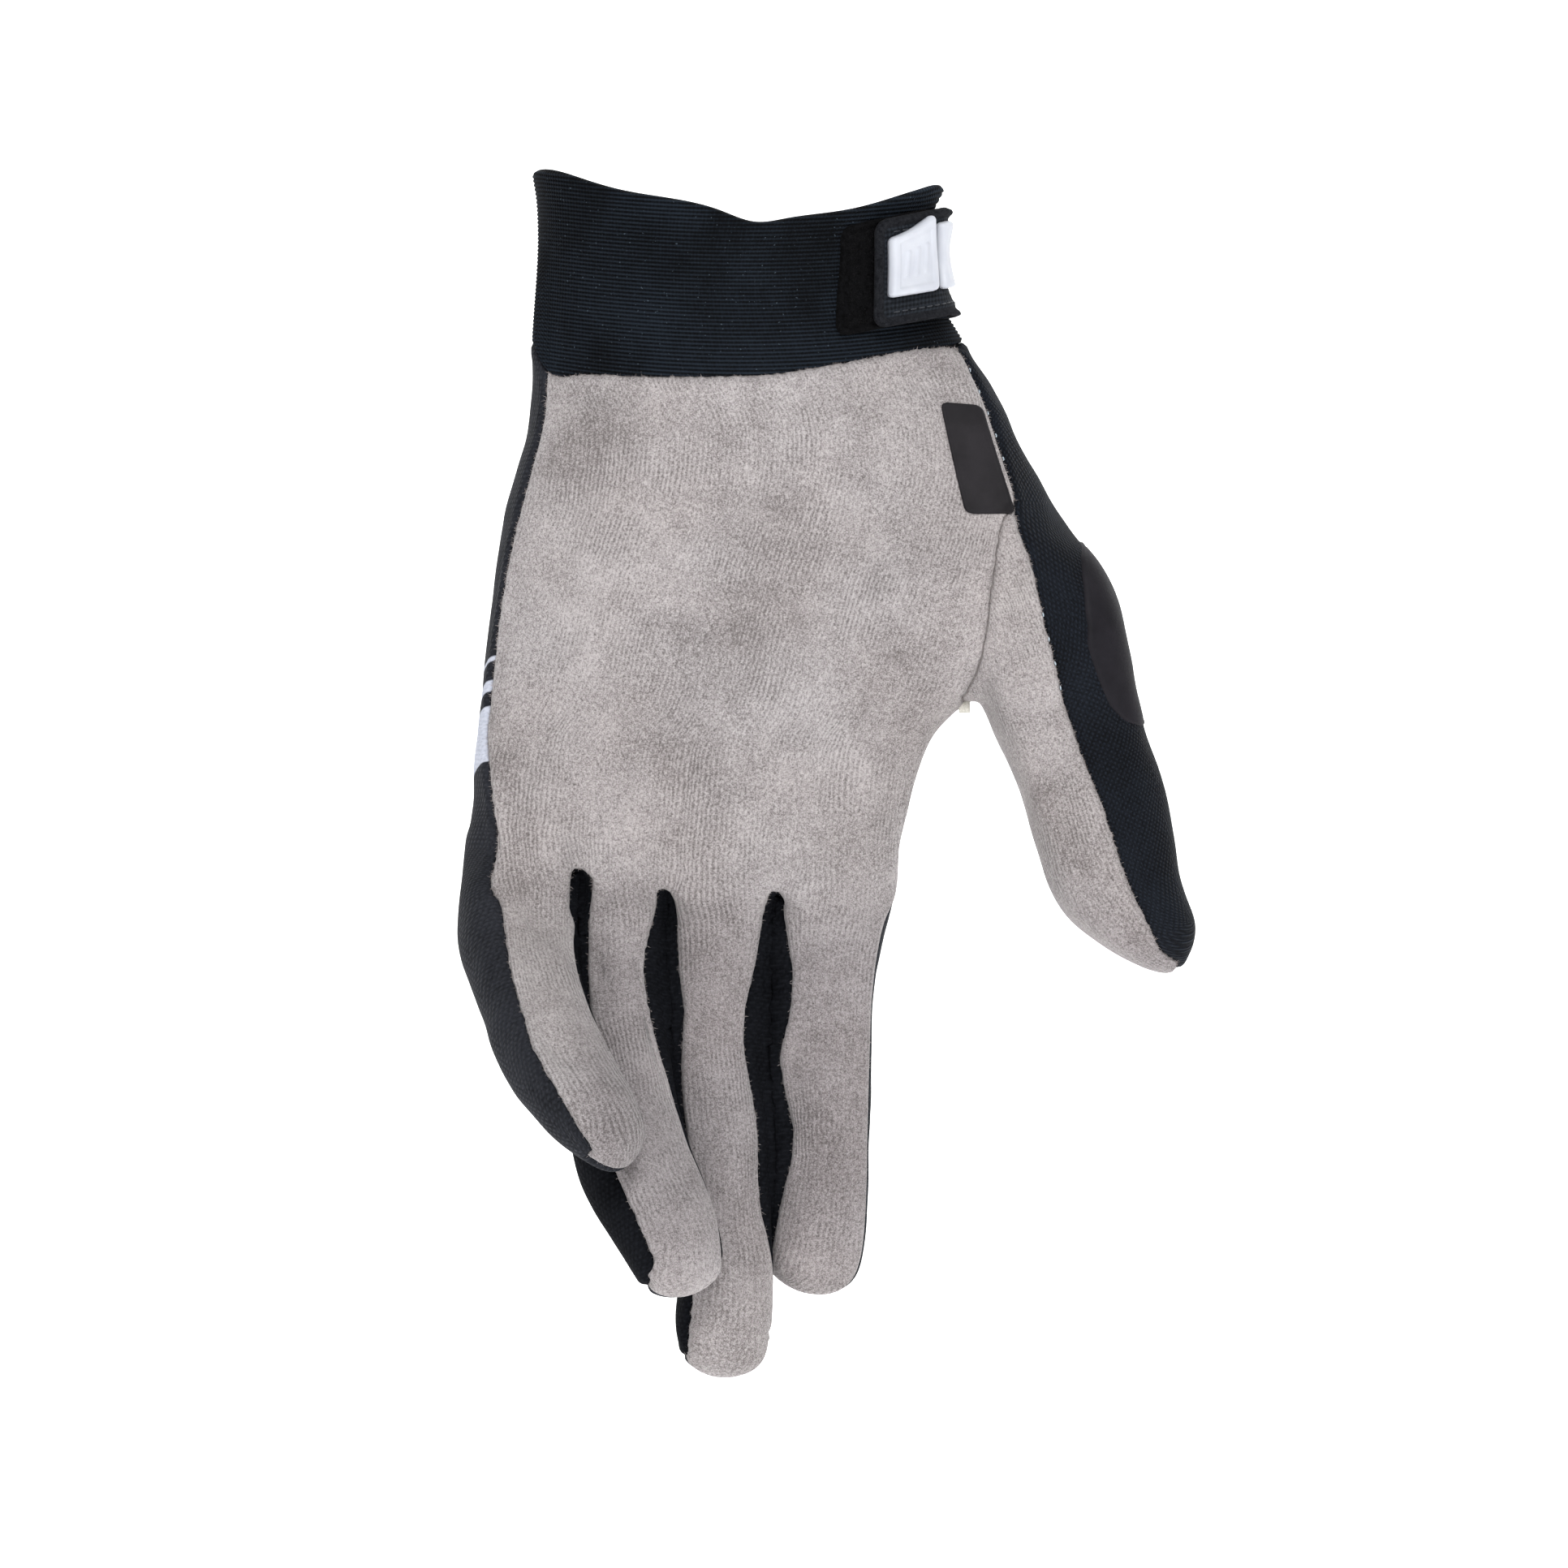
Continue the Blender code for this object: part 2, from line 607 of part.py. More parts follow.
def boundary_shifts(faces, points, normals, open_edges):
    """How each point on a panel's seam moves into the panel, half a seam gap from the seam."""
    uses = {}
    for face in faces:
        for here, after in zip(face, face[1:] + face[:1]):
            uses[(here, after)] = face
    inward = {}
    boundary = []
    for (here, after) in uses:
        if (after, here) in uses:
            continue
        boundary.append((here, after))
        if frozenset((here, after)) in open_edges:
            continue
        edge = points[after] - points[here]
        for end in (here, after):
            inward.setdefault(end, []).append(normals[end].cross(edge).normalized())
    shifts = {}
    for end, directions in inward.items():
        total = directions[0] if len(directions) == 1 else directions[0] + directions[1]
        spread = 1 if len(directions) == 1 else 1 + directions[0].dot(directions[1])
        shifts[end] = total * (SEAM_GAP / 2 / max(spread, LEAST_SPREAD))
    return boundary, shifts


def rim_faces(here, after, count, rising):
    """Two triangles of a rim, split the same way in both panels that share a seam."""
    if rising:
        return [(after, here, count + after), (here, count + here, count + after)]
    return [(after, here, count + here), (after, count + here, count + after)]


def thick_panel(name, skin, normals, slot, wall, open_edges):
    """One panel of the skin as a closed solid: outer face, inner face and rims."""
    faces = [tuple(polygon.vertices) for polygon in skin.polygons
             if polygon.material_index == slot]
    points = [vertex.co.copy() for vertex in skin.vertices]
    boundary, shifts = boundary_shifts(faces, points, normals, open_edges)
    used = sorted({number for face in faces for number in face})
    order = {number: place for place, number in enumerate(used)}
    nothing = Vector((0, 0, 0))
    outer = [points[number] + shifts.get(number, nothing) for number in used]
    inner = [point - normals[number] * wall for point, number in zip(outer, used)]
    count = len(used)
    solid_faces = [tuple(order[number] for number in face) for face in faces]
    solid_faces += [tuple(count + order[number] for number in reversed(face)) for face in faces]
    for here, after in boundary:
        solid_faces += rim_faces(order[here], order[after], count, here < after)
    add_solid(name, [tuple(point) for point in outer + inner], solid_faces)


def add_solid(name, points, faces):
    mesh = bpy.data.meshes.new(name)
    mesh.from_pydata(points, [], faces)
    mesh.shade_smooth()
    mesh.set_sharp_from_angle(angle=math.radians(SHARP_ANGLE))
    solid = bpy.data.objects.new(name, mesh)
    bpy.context.scene.collection.objects.link(solid)


def paint(name, color):
    """A plain material of the piece's own colour."""
    material = bpy.data.materials.new(name + "_finish")
    material.use_nodes = True
    shader = material.node_tree.nodes["Principled BSDF"]
    shader.inputs["Base Color"].default_value = (color.red, color.green, color.blue, 1)
    shader.inputs["Roughness"].default_value = color.roughness
    shader.inputs["Metallic"].default_value = 0.0
    mesh = bpy.data.objects[name].data
    mesh.materials.clear()
    mesh.materials.append(material)


def ridge_heights(places, outward):
    """How far the skin stands over the flat faces between every second place of a grid."""
    coarse = places[::2, ::2]
    heights = numpy.zeros(coarse.shape[:2])
    rows, columns = heights.shape
    for down, across in ((1, 0), (0, 1), (1, 1)):
        first = coarse[:rows - down, :columns - across]
        last = coarse[down:, across:]
        middle = places[down::2, across::2][:rows - down, :columns - across]
        direction = outward[down::2, across::2][:rows - down, :columns - across]
        over = ((middle - (first + last) / 2) * direction).sum(axis=2).clip(0)
        near = heights[:rows - down, :columns - across]
        numpy.maximum(near, over, out=near)
        far = heights[down:, across:]
        numpy.maximum(far, over, out=far)
    return heights[:, :, None]


def add_shell(name, places, outward, lift, wall):
    """A solid sheet over every second place of a grid on the skin, lifted along directions."""
    places = numpy.array(places)
    outward = numpy.array(outward)
    lift = lift + ridge_heights(places, outward)
    places = places[::2, ::2]
    outward = outward[::2, ::2]
    rows, columns = places.shape[:2]
    low = (places + outward * lift).reshape(-1, 3)
    high = (places + outward * (lift + wall)).reshape(-1, 3)
    count = rows * columns

    def at(row, column):
        return row * columns + column

    faces = []
    for row in range(rows - 1):
        for column in range(columns - 1):
            corners = (at(row, column), at(row + 1, column), at(row + 1, column + 1),
                       at(row, column + 1))
            faces.append(tuple(count + corner for corner in corners))
            faces.append(corners[::-1])
    rim = [at(0, column) for column in range(columns)]
    rim += [at(row, columns - 1) for row in range(1, rows)]
    rim += [at(rows - 1, column) for column in range(columns - 2, -1, -1)]
    rim += [at(row, 0) for row in range(rows - 2, 0, -1)]
    for here, after in zip(rim, rim[1:] + rim[:1]):
        faces.append((after, here, count + here, count + after))
    add_solid(name, numpy.vstack((low, high)).tolist(), faces)


def rounded_grid(length, height, radius, columns, rows):
    """Places over a rounded rectangle, as rows of (along, down) from its first top corner.

    Every second place is a corner of the sheet's faces, and those between test the skin.
    """
    ends = [step * radius for step in CORNER_STEPS]
    inner = numpy.linspace(radius, height - radius, rows)[1:-1]
    lines = ends + list(inner) + [height - end for end in ends[::-1]]
    downs = numpy.interp(numpy.arange(2 * len(lines) - 1) / 2, numpy.arange(len(lines)), lines)
    columns = 2 * columns - 1
    grid = []
    for down in downs:
        near = min(down, height - down)
        inset = 0
        if near < radius:
            inset = radius - math.sqrt(radius ** 2 - (radius - near) ** 2)
        grid.append([(along, down) for along in numpy.linspace(inset, length - inset, columns)])
    return grid


class CuffWrap:
    """Finds places on the skin from a length round the cuff and a height."""

    def __init__(self, tree):
        self.tree = tree
        self.angles = numpy.radians(numpy.arange(-180, 181, WRAP_STEP))

    def place(self, around, height):
        """around is zero at the thumb edge, less than zero on the palm side."""
        hits = []
        for angle in self.angles:
            direction = Vector((math.cos(angle), math.sin(angle), 0))
            hit = self.tree.ray_cast(Vector((0, 0, height)), direction)[0]
            if hit is None:
                below_dip = Vector((0, 0, height - RIM_LEVEL * CUFF_HEIGHT))
                hit = self.tree.ray_cast(below_dip, direction)[0]
                hit.z = height
            hits.append(hit)
        steps = [(after - here).length for here, after in zip(hits, hits[1:])]
        lengths = numpy.concatenate(([0], numpy.cumsum(steps)))
        lengths -= lengths[len(lengths) // 2]
        return [float(numpy.interp(around, lengths, [hit[axis] for hit in hits]))
                for axis in range(3)]


def strap_level(around):
    """Height of the closure's middle line, which falls away over the palm side."""
    return -CLOSURE_LEVEL * CUFF_HEIGHT + math.tan(math.radians(STRAP_TILT)) * min(around, 0)


def add_wrapped(name, wrap, start, end, height, columns, lift, wall):
    """A rounded rectangle laid round the cuff about the closure's middle line."""
    places = []
    outward = []
    radius = min(CORNER_RADIUS, BAR_CORNER_SHARE * (end - start))
    for row in rounded_grid(end - start, height, radius, columns, WRAP_ROWS):
        line = [Vector(wrap.place(start + along,
                                  strap_level(start + along) + height / 2 - down))
                for along, down in row]
        places.append([tuple(place) for place in line])
        outward.append([tuple(Vector((place.x / CUFF_WIDTH ** 2, place.y / CUFF_DEPTH ** 2,
                                      0)).normalized()) for place in line])
    add_shell(name, places, outward, lift, wall)


def add_closure(tree):
    """Loop patch, strap over it, and the two rubber pieces on the strap."""
    wrap = CuffWrap(tree)
    strap_lift = SEAT_GAP + PATCH_WALL + SEAT_GAP
    badge_lift = strap_lift + STRAP_WALL + BADGE_SEAT_GAP
    bar_start = -BADGE_END + BADGE_BAR_GAP
    bar_end = bar_start + BADGE_BAR_WIDTH
    add_wrapped("loop_patch", wrap, -PATCH_START, -PATCH_END, PATCH_HEIGHT, PATCH_COLUMNS,
                SEAT_GAP, PATCH_WALL)
    add_wrapped("closure_strap", wrap, -STRAP_REACH, STRAP_TAIL, STRAP_HEIGHT, STRAP_COLUMNS,
                strap_lift, STRAP_WALL)
    add_wrapped("strap_badge", wrap, -BADGE_START, -BADGE_END, BADGE_HEIGHT, BADGE_COLUMNS,
                badge_lift, BADGE_WALL)
    add_wrapped("strap_badge_bar", wrap, bar_start, bar_end, BADGE_HEIGHT, BAR_COLUMNS,
                badge_lift, BADGE_WALL)


def add_label(tree):
    """A bare patch on the palm, its long side along the thumb's seam."""
    above = CUFF_ROWS[-1].radial * CUFF_WIDTH
    beside = PALM_ROWS[FIRST_THUMB_ROW].radial_seam * HAND_BREADTH
    bottom = -CUFF_HEIGHT - PALM_ROWS[FIRST_THUMB_ROW].down * PALM_LENGTH
    top = -CUFF_HEIGHT * (1 - edge_rise(1, "seam"))
    grid = rounded_grid(LABEL_WIDTH, LABEL_HEIGHT, LABEL_CORNER, LABEL_COLUMNS, LABEL_ROWS)
    places = []
    for row in grid:
        line = []
        for along, down in row:
            height = bottom + LABEL_INSET + LABEL_HEIGHT - down
            rise = max(0, (height - bottom) / (top - bottom))
            edge = lerp(beside, above, rise ** LABEL_BEND)
            start = Vector((edge - LABEL_INSET - LABEL_WIDTH + along, -PALM_DEPTH, height))
            line.append(tuple(tree.ray_cast(start, Vector((0, 1, 0)))[0]))
        places.append(line)
    outward = numpy.broadcast_to((0.0, -1.0, 0.0), numpy.array(places).shape)
    add_shell("palm_label", places, outward, SEAT_GAP, LABEL_WALL)


def add_thumb_overlay(tree):
    """A patch over the thumb's outer side, from its palm side round to its back."""
    root, along, splay = thumb_frame()
    outwards = Vector((math.cos(splay), 0, math.sin(splay)))
    turn = math.radians(OVERLAY_TURN)
    breadth = turn * THUMB_WIDTH
    places = []
    outward = []
    for row in rounded_grid(breadth, OVERLAY_LENGTH, CORNER_RADIUS, OVERLAY_COLUMNS,
                            OVERLAY_ROWS):
        line = []
        directions = []
        for across, down in row:
            angle = turn * (1 - 2 * across / breadth)
            centre = root + along * (down - OVERLAY_START * OVERLAY_LENGTH)
            direction = outwards * math.cos(angle) + Vector((0, -math.sin(angle), 0))
            line.append(tuple(tree.ray_cast(centre, direction)[0]))
            directions.append(tuple(direction))
        places.append(line)
        outward.append(directions)
    add_shell("thumb_overlay", places, outward, OVERLAY_SEAT_GAP, OVERLAY_WALL)


def build_glove():
    cage = build_cage()
    panel_names = sorted(set(cage.panels))
    skin = fitted_skin(cage, panel_names)
    normals = [vertex.normal.copy() for vertex in skin.vertices]
    edge_uses = {}
    for polygon in skin.polygons:
        for key in polygon.edge_keys:
            edge_uses[frozenset(key)] = edge_uses.get(frozenset(key), 0) + 1
    open_edges = {edge for edge, count in edge_uses.items() if count == 1}
    walls = {"cuff": (CUFF_WALL, ELASTIC), "palm_panel": (SUEDE_WALL, SUEDE),
             "thumb_palm_panel": (SUEDE_WALL, SUEDE), "back_panel": (KNIT_WALL, KNIT),
             "thumb_back_panel": (KNIT_WALL, MESH_KNIT)}
    for slot, name in enumerate(panel_names):
        wall, color = walls.get(name, (KNIT_WALL, KNIT))
        thick_panel(name, skin, normals, slot, wall, open_edges)
        paint(name, color)
    tree = BVHTree.FromPolygons([vertex.co for vertex in skin.vertices],
                                [tuple(polygon.vertices) for polygon in skin.polygons])
    add_closure(tree)
    add_label(tree)
    add_thumb_overlay(tree)
    bpy.data.meshes.remove(skin)
    paint("loop_patch", LOOP)
    paint("closure_strap", WEBBING)
    paint("strap_badge", RUBBER)
    paint("strap_badge_bar", RUBBER)
    paint("palm_label", SMOOTH_PATCH)
    paint("thumb_overlay", SMOOTH_PATCH)


build_glove()
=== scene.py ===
"""Looks of the motocross glove: sewn suede, stretch knit, ribbed cuff, closure and fuzz."""
import math
from collections import namedtuple

import bpy
import numpy
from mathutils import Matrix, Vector, noise
from mathutils.bvhtree import BVHTree
from mathutils.kdtree import KDTree


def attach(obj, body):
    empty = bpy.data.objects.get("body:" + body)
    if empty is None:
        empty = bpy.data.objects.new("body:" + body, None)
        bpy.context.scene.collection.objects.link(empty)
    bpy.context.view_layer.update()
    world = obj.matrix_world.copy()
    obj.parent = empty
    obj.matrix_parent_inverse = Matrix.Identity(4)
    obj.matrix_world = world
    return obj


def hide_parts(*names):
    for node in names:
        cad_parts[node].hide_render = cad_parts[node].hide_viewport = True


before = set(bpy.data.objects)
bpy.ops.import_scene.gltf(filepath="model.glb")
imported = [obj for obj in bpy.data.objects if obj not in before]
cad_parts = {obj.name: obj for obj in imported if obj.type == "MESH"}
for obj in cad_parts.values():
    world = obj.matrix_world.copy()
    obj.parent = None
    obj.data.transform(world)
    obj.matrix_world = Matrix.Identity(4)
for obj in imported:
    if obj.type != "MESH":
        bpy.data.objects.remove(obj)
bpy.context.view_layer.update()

RANDOM = numpy.random.default_rng(7)

# The photograph and the camera that stands in for it
PHOTO_SIDE = 1932
PIXEL = 0.00016
CAMERA_DISTANCE = 1.2
CAMERA_X = 0.00816
CAMERA_Z = -0.11616

# Cuff and palm, in metres
CUFF_HEIGHT = 0.0373
CUFF_WIDTH = 0.080
CUFF_DEPTH = 0.046
PALM_LENGTH = 0.101
PALM_DEPTH = 0.039
WEB_WIDTH = 0.0010

# Fingers: drop from the crotch line to the tip, greatest width, depth at the root
LITTLE_LENGTH = 0.051
LITTLE_WIDTH = 0.0215
LITTLE_DEPTH = 0.0165
RING_LENGTH = 0.076
RING_WIDTH = 0.020
RING_DEPTH = 0.017
MIDDLE_LENGTH = 0.0932
MIDDLE_WIDTH = 0.020
MIDDLE_DEPTH = 0.0175
INDEX_LENGTH = 0.0775
INDEX_WIDTH = 0.0215
INDEX_DEPTH = 0.018
INDEX_REACH = 0.006
MIDDLE_REACH = 0.015
FINGER_CLEARANCE = 0.0006

# Thumb, from the middle of its opening in the palm to its tip
THUMB_LENGTH = 0.0807
THUMB_WIDTH = 0.028
THUMB_DEPTH = 0.023
THUMB_REACH = 0.014
THUMB_SPLAY = 24.4

# Walls, and the gap under what is sewn on
SUEDE_WALL = 0.0012
KNIT_WALL = 0.0014
CUFF_WALL = 0.0020
SEAT_GAP = 0.0004

# Closure: lengths round the cuff are measured from its thumb edge
PATCH_START = 0.0285
PATCH_END = 0.004
PATCH_HEIGHT = 0.0215
PATCH_WALL = 0.0011
STRAP_REACH = 0.0200
STRAP_TAIL = 0.040
STRAP_HEIGHT = 0.0212
STRAP_WALL = 0.0017
STRAP_TILT = 12.0
BADGE_HEIGHT = 0.0160
BADGE_WALL = 0.0014
BADGE_BAR_WIDTH = 0.0045
BADGE_BAR_GAP = 0.0016
CORNER_RADIUS = 0.0028

# Flat trim on the palm and the thumb
LABEL_HEIGHT = 0.0215
LABEL_WIDTH = 0.0088
LABEL_WALL = 0.0006
LABEL_CORNER = 0.0014
# Pixels of the photograph where the label's corners show, from the top left
LABEL_CORNERS = ((1159, 493), (1212, 496), (1253, 632), (1190, 633))
OVERLAY_LENGTH = 0.038
OVERLAY_TURN = 46.0

# How square the finger and thumb sections are: 1 is an ellipse, less is squarer
SQUARENESS = 0.85
# How far the cage is moved at each pass of drawing the skin through the wanted points
FIT_PASSES = 8
FIT_STEP = 0.9
# How much of the overlay lies above the root, as a share of its length
OVERLAY_START = 0.10
# Pixels across and down where the overlay's palm-side edge shows in the photograph
OVERLAY_EDGE = ((1328, 1332, 1336, 1339, 1352, 1364, 1375, 1400),
                (660, 700, 741, 797, 834, 864, 881, 900))
# How far the web between two fingers rises from its edges, as a share of its width
WEB_RISE = 0.7
# Height of the closure's middle line under the origin, as a share of CUFF_HEIGHT
CLOSURE_LEVEL = 0.36
# Step in degrees of the rays that measure lengths round the cuff
WRAP_STEP = 3
# Where across the palm side the closure's upright lines are set level, and its left edges
WRAP_LEVEL_X = 0.026
PATCH_X = 0.0190
STRAP_X = 0.0247
BADGE_X = 0.0264
PLATE_LENGTH = 0.0102
BADGE_FLARE = 0.0032
BADGE_RAISE = 0.0010


FINGER_NAMES = ("little", "ring", "middle", "index")
FINGER_COLUMNS = 3
COLUMNS = FINGER_COLUMNS * len(FINGER_NAMES)

# The cuff's sections from its rim to the palm seam.
# down is a share of CUFF_HEIGHT, ulnar and radial of CUFF_WIDTH, depth of CUFF_DEPTH
CuffRow = namedtuple("CuffRow", "down ulnar radial depth")
CUFF_ROWS = (
    CuffRow(0.00, -0.514, 0.490, 1.00),
    CuffRow(0.45, -0.506, 0.447, 0.96),
    CuffRow(1.00, -0.520, 0.545, 0.90),
)
CUFF_SEAM_INSET = 0.04
CUFF_LIP = 0.34
CUFF_SQUARE = 2.2

# How far the rim and the seam rise above their lowest point, as shares of CUFF_HEIGHT,
# at stations across the glove from the little finger's side (0) to the thumb's side (1)
EdgeStation = namedtuple("EdgeStation", "across rim seam")
EDGE_STATIONS = (
    EdgeStation(0.00, 0.310, 0.050),
    EdgeStation(0.20, 0.175, 0.010),
    EdgeStation(0.40, 0.100, 0.000),
    EdgeStation(0.55, 0.000, 0.010),
    EdgeStation(0.70, 0.040, 0.060),
    EdgeStation(0.82, 0.085, 0.120),
    EdgeStation(1.00, 0.200, 0.200),
)
RIM_LEVEL = 0.205
SIDE_SEAM_RISE = 0.23

# The palm's sections from the cuff seam to the crotch line.
# down is a share of PALM_LENGTH; ulnar, ulnar_seam, radial_seam and radial of the hand's breadth,
# depth and lean of PALM_DEPTH; the lips are the seams' shares of the half depth, hollow is the
# dip of the palm's middle, fan spreads the columns from even to the fingers' own widths,
# rise lifts the little finger's side, and knuckle swells the back over each finger.
PalmRow = namedtuple("PalmRow", "down ulnar ulnar_seam radial_seam radial depth lean "
                     "ulnar_lip radial_lip hollow fan rise knuckle")
PALM_ROWS = (
    PalmRow(0.090, -0.503, -0.465, 0.600, 0.632, 1.04, 0.00, 0.45, 0.45, 0.04, 0.0, 0.00, 0.0),
    PalmRow(0.248, -0.552, -0.514, 0.641, 0.735, 1.06, 0.00, 0.42, 0.70, 0.12, 0.2, 0.00, 0.0),
    PalmRow(0.430, -0.590, -0.560, 0.573, 0.790, 1.02, 0.01, 0.40, 0.88, 0.16, 0.4, 0.00, 0.0),
    PalmRow(0.618, -0.606, -0.585, 0.502, 0.512, 0.93, 0.02, 0.36, 0.45, 0.14, 0.6, 0.00, 0.0),
    PalmRow(0.700, -0.613, -0.593, 0.420, 0.422, 0.88, 0.03, 0.36, 0.27, 0.10, 0.8, 0.01, 0.02),
    PalmRow(0.810, -0.626, -0.583, 0.379, 0.381, 0.81, 0.04, 0.55, 0.24, 0.06, 0.9, 0.03, 0.05),
    PalmRow(0.905, -0.637, -0.572, 0.352, 0.354, 0.74, 0.05, 0.66, 0.24, 0.03, 1.0, 0.05, 0.06),
    PalmRow(1.000, -0.654, -0.566, 0.341, 0.344, 0.66, 0.06, 0.76, 0.26, 0.00, 1.0, 0.095, 0.04),
)
PALM_SQUARE = 2.6
HOLLOW_POWER = 2
RISE_POWER = 1.5
FIRST_THUMB_ROW = 1
LAST_THUMB_ROW = 3

# Each finger's sections. down is a share of its length, across, width of its width (across is
# towards the thumb from its root's middle), curl of its reach to the palm side, depth of its
# depth, and roll is in degrees, with the palm side turning towards the thumb.
Section = namedtuple("Section", "down across curl width depth roll")
LITTLE_SECTIONS = (
    Section(0.105, -0.015, 0.175, 1.05, 1.06, 26),
    Section(0.29, 0.055, 0.40, 1.03, 1.00, 36),
    Section(0.515, 0.260, 0.66, 0.97, 0.95, 40),
    Section(0.73, 0.575, 0.90, 0.93, 0.90, 44),
    Section(0.90, 0.890, 0.98, 0.66, 0.66, 42),
    Section(1.00, 1.010, 1.00, 0.0, 0.0, 42),
)
RING_SECTIONS = (
    Section(0.093, -0.010, 0.09, 0.85, 1.02, 2),
    Section(0.228, -0.020, 0.21, 0.84, 0.97, 6),
    Section(0.38, -0.020, 0.39, 0.92, 0.93, 14),
    Section(0.533, 0.010, 0.57, 1.06, 0.92, 26),
    Section(0.685, 0.150, 0.75, 1.13, 0.92, 34),
    Section(0.84, 0.445, 0.90, 1.00, 0.85, 28),
    Section(0.95, 0.590, 0.95, 0.76, 0.62, 24),
    Section(1.00, 0.600, 0.96, 0.0, 0.0, 24),
)
MIDDLE_SECTIONS = (
    Section(0.085, -0.030, 0.13, 1.01, 1.02, 0),
    Section(0.23, -0.055, 0.29, 0.99, 1.00, 0),
    Section(0.38, -0.035, 0.45, 0.97, 0.97, 2),
    Section(0.53, 0.005, 0.61, 0.93, 0.95, 8),
    Section(0.685, 0.015, 0.77, 0.90, 0.92, 14),
    Section(0.83, 0.025, 0.91, 0.93, 0.86, 18),
    Section(0.95, 0.000, 0.98, 0.82, 0.62, 18),
    Section(1.00, -0.030, 1.00, 0.0, 0.0, 18),
)
INDEX_SECTIONS = (
    Section(0.09, -0.065, 0.15, 1.02, 1.02, -4),
    Section(0.27, -0.125, 0.35, 1.00, 1.00, -6),
    Section(0.44, -0.140, 0.55, 0.98, 0.97, -6),
    Section(0.62, -0.125, 0.70, 0.90, 0.95, -6),
    Section(0.80, -0.140, 0.88, 0.89, 0.90, -6),
    Section(0.94, -0.225, 1.00, 0.83, 0.66, -6),
    Section(1.00, -0.300, 1.00, 0.0, 0.0, -6),
)
RING_SHARE_BEHIND_LITTLE = 0.74

# Width of each finger's root, as a share of the finger's width
ROOT_SHARES = {"little": 1.08, "ring": 0.79, "middle": 1.03, "index": 1.02}
# How far a root's two edges lie inside its width, as a share of that width
ROOT_INSET = 0.08

# Angles of the eight points round a finger, from its thumb side towards its palm side
FINGER_ANGLES = (180, 135, 85, 32, -8, -48, -90, -135)
INDEX_ANGLES = (180, 135, 88, 48, 20, -42, -92, -135)

# The thumb's sections, as the fingers' ones; turn tips the section towards the wrist, in degrees
ThumbSection = namedtuple("ThumbSection", "down across curl width depth turn roll")
THUMB_SECTIONS = (
    ThumbSection(0.138, 0.235, 0.25, 1.27, 1.30, 25, 0),
    ThumbSection(0.309, 0.181, 0.40, 1.05, 1.12, 5, 0),
    ThumbSection(0.450, 0.131, 0.55, 0.97, 1.02, 0, 0),
    ThumbSection(0.611, 0.073, 0.72, 0.99, 0.98, 0, -2),
    ThumbSection(0.773, 0.013, 0.86, 0.81, 0.86, 0, -2),
    ThumbSection(0.903, 0.093, 0.96, 0.56, 0.62, 0, 0),
    ThumbSection(0.995, 0.120, 1.00, 0.0, 0.0, 0, 0),
)
# Order round the thumb: outer side, three points of the back, inner side, three of the palm side
THUMB_ANGLES = (30, -20, -70, -120, -168, 150, 120, 85)
THUMB_SUEDE = (4, 5, 6)


Finger = namedtuple("Finger", "length width depth reach sections angles")


class Cage:
    """Wanted points of the skin and the faces between them, each with its panel and lengths."""

    def __init__(self):
        self.points = []
        self.faces = []
        self.panels = []
        self.sides = []
        self.cells = []
        self.charts = {}

    def point(self, place):
        self.points.append(Vector(place))
        return len(self.points) - 1

    def face(self, corners, panel, side=0, cells=((0, 0),) * 4):
        self.faces.append(tuple(corners))
        self.panels.append(panel)
        self.sides.append(side)
        self.cells.append(cells)

    def band(self, upper, lower, panels, first_side=0, row=0):
        """Faces between two closed rings, with no face where the panel is None."""
        count = len(upper)
        for here in range(count):
            after = (here + 1) % count
            if panels[here] is not None:
                side = first_side if here < count // 2 else first_side + 1
                cells = ((here, row), (here, row + 1), (here + 1, row + 1), (here + 1, row))
                self.face((upper[here], lower[here], lower[after], upper[after]), panels[here],
                          side, cells)

    def measure(self, ring, first_side=0, down=None, starts=(0.0, 0.0)):
        """Lengths round each half of a ring, from its middle, for the cloth's own lines."""
        half = len(ring) // 2
        for side in (0, 1):
            line = ring[:half + 1] if side == 0 else ring[half:] + ring[:1]
            kept = [(spot, number) for spot, number in enumerate(line) if number is not None]
            places = [self.points[number] for _, number in kept]
            steps = [(after - here).length for here, after in zip(places, places[1:])]
            lengths = numpy.concatenate(([0], numpy.cumsum(steps)))
            middle = float(numpy.interp(half / 2, [spot for spot, _ in kept], lengths))
            sign = 1 if side == 0 else -1
            for (_, number), length in zip(kept, lengths):
                level = -self.points[number].z if down is None else down
                self.charts.setdefault((number, first_side + side),
                                       (starts[side] + sign * (length - middle), level))

    def measured(self, number, side):
        """Lengths at a point on one side of the glove, or the nearest thing known."""
        other = side + 1 if side % 2 == 0 else side - 1
        place = self.points[number]
        known = self.charts.get((number, side), self.charts.get((number, other)))
        return known or (place.x, -place.z)


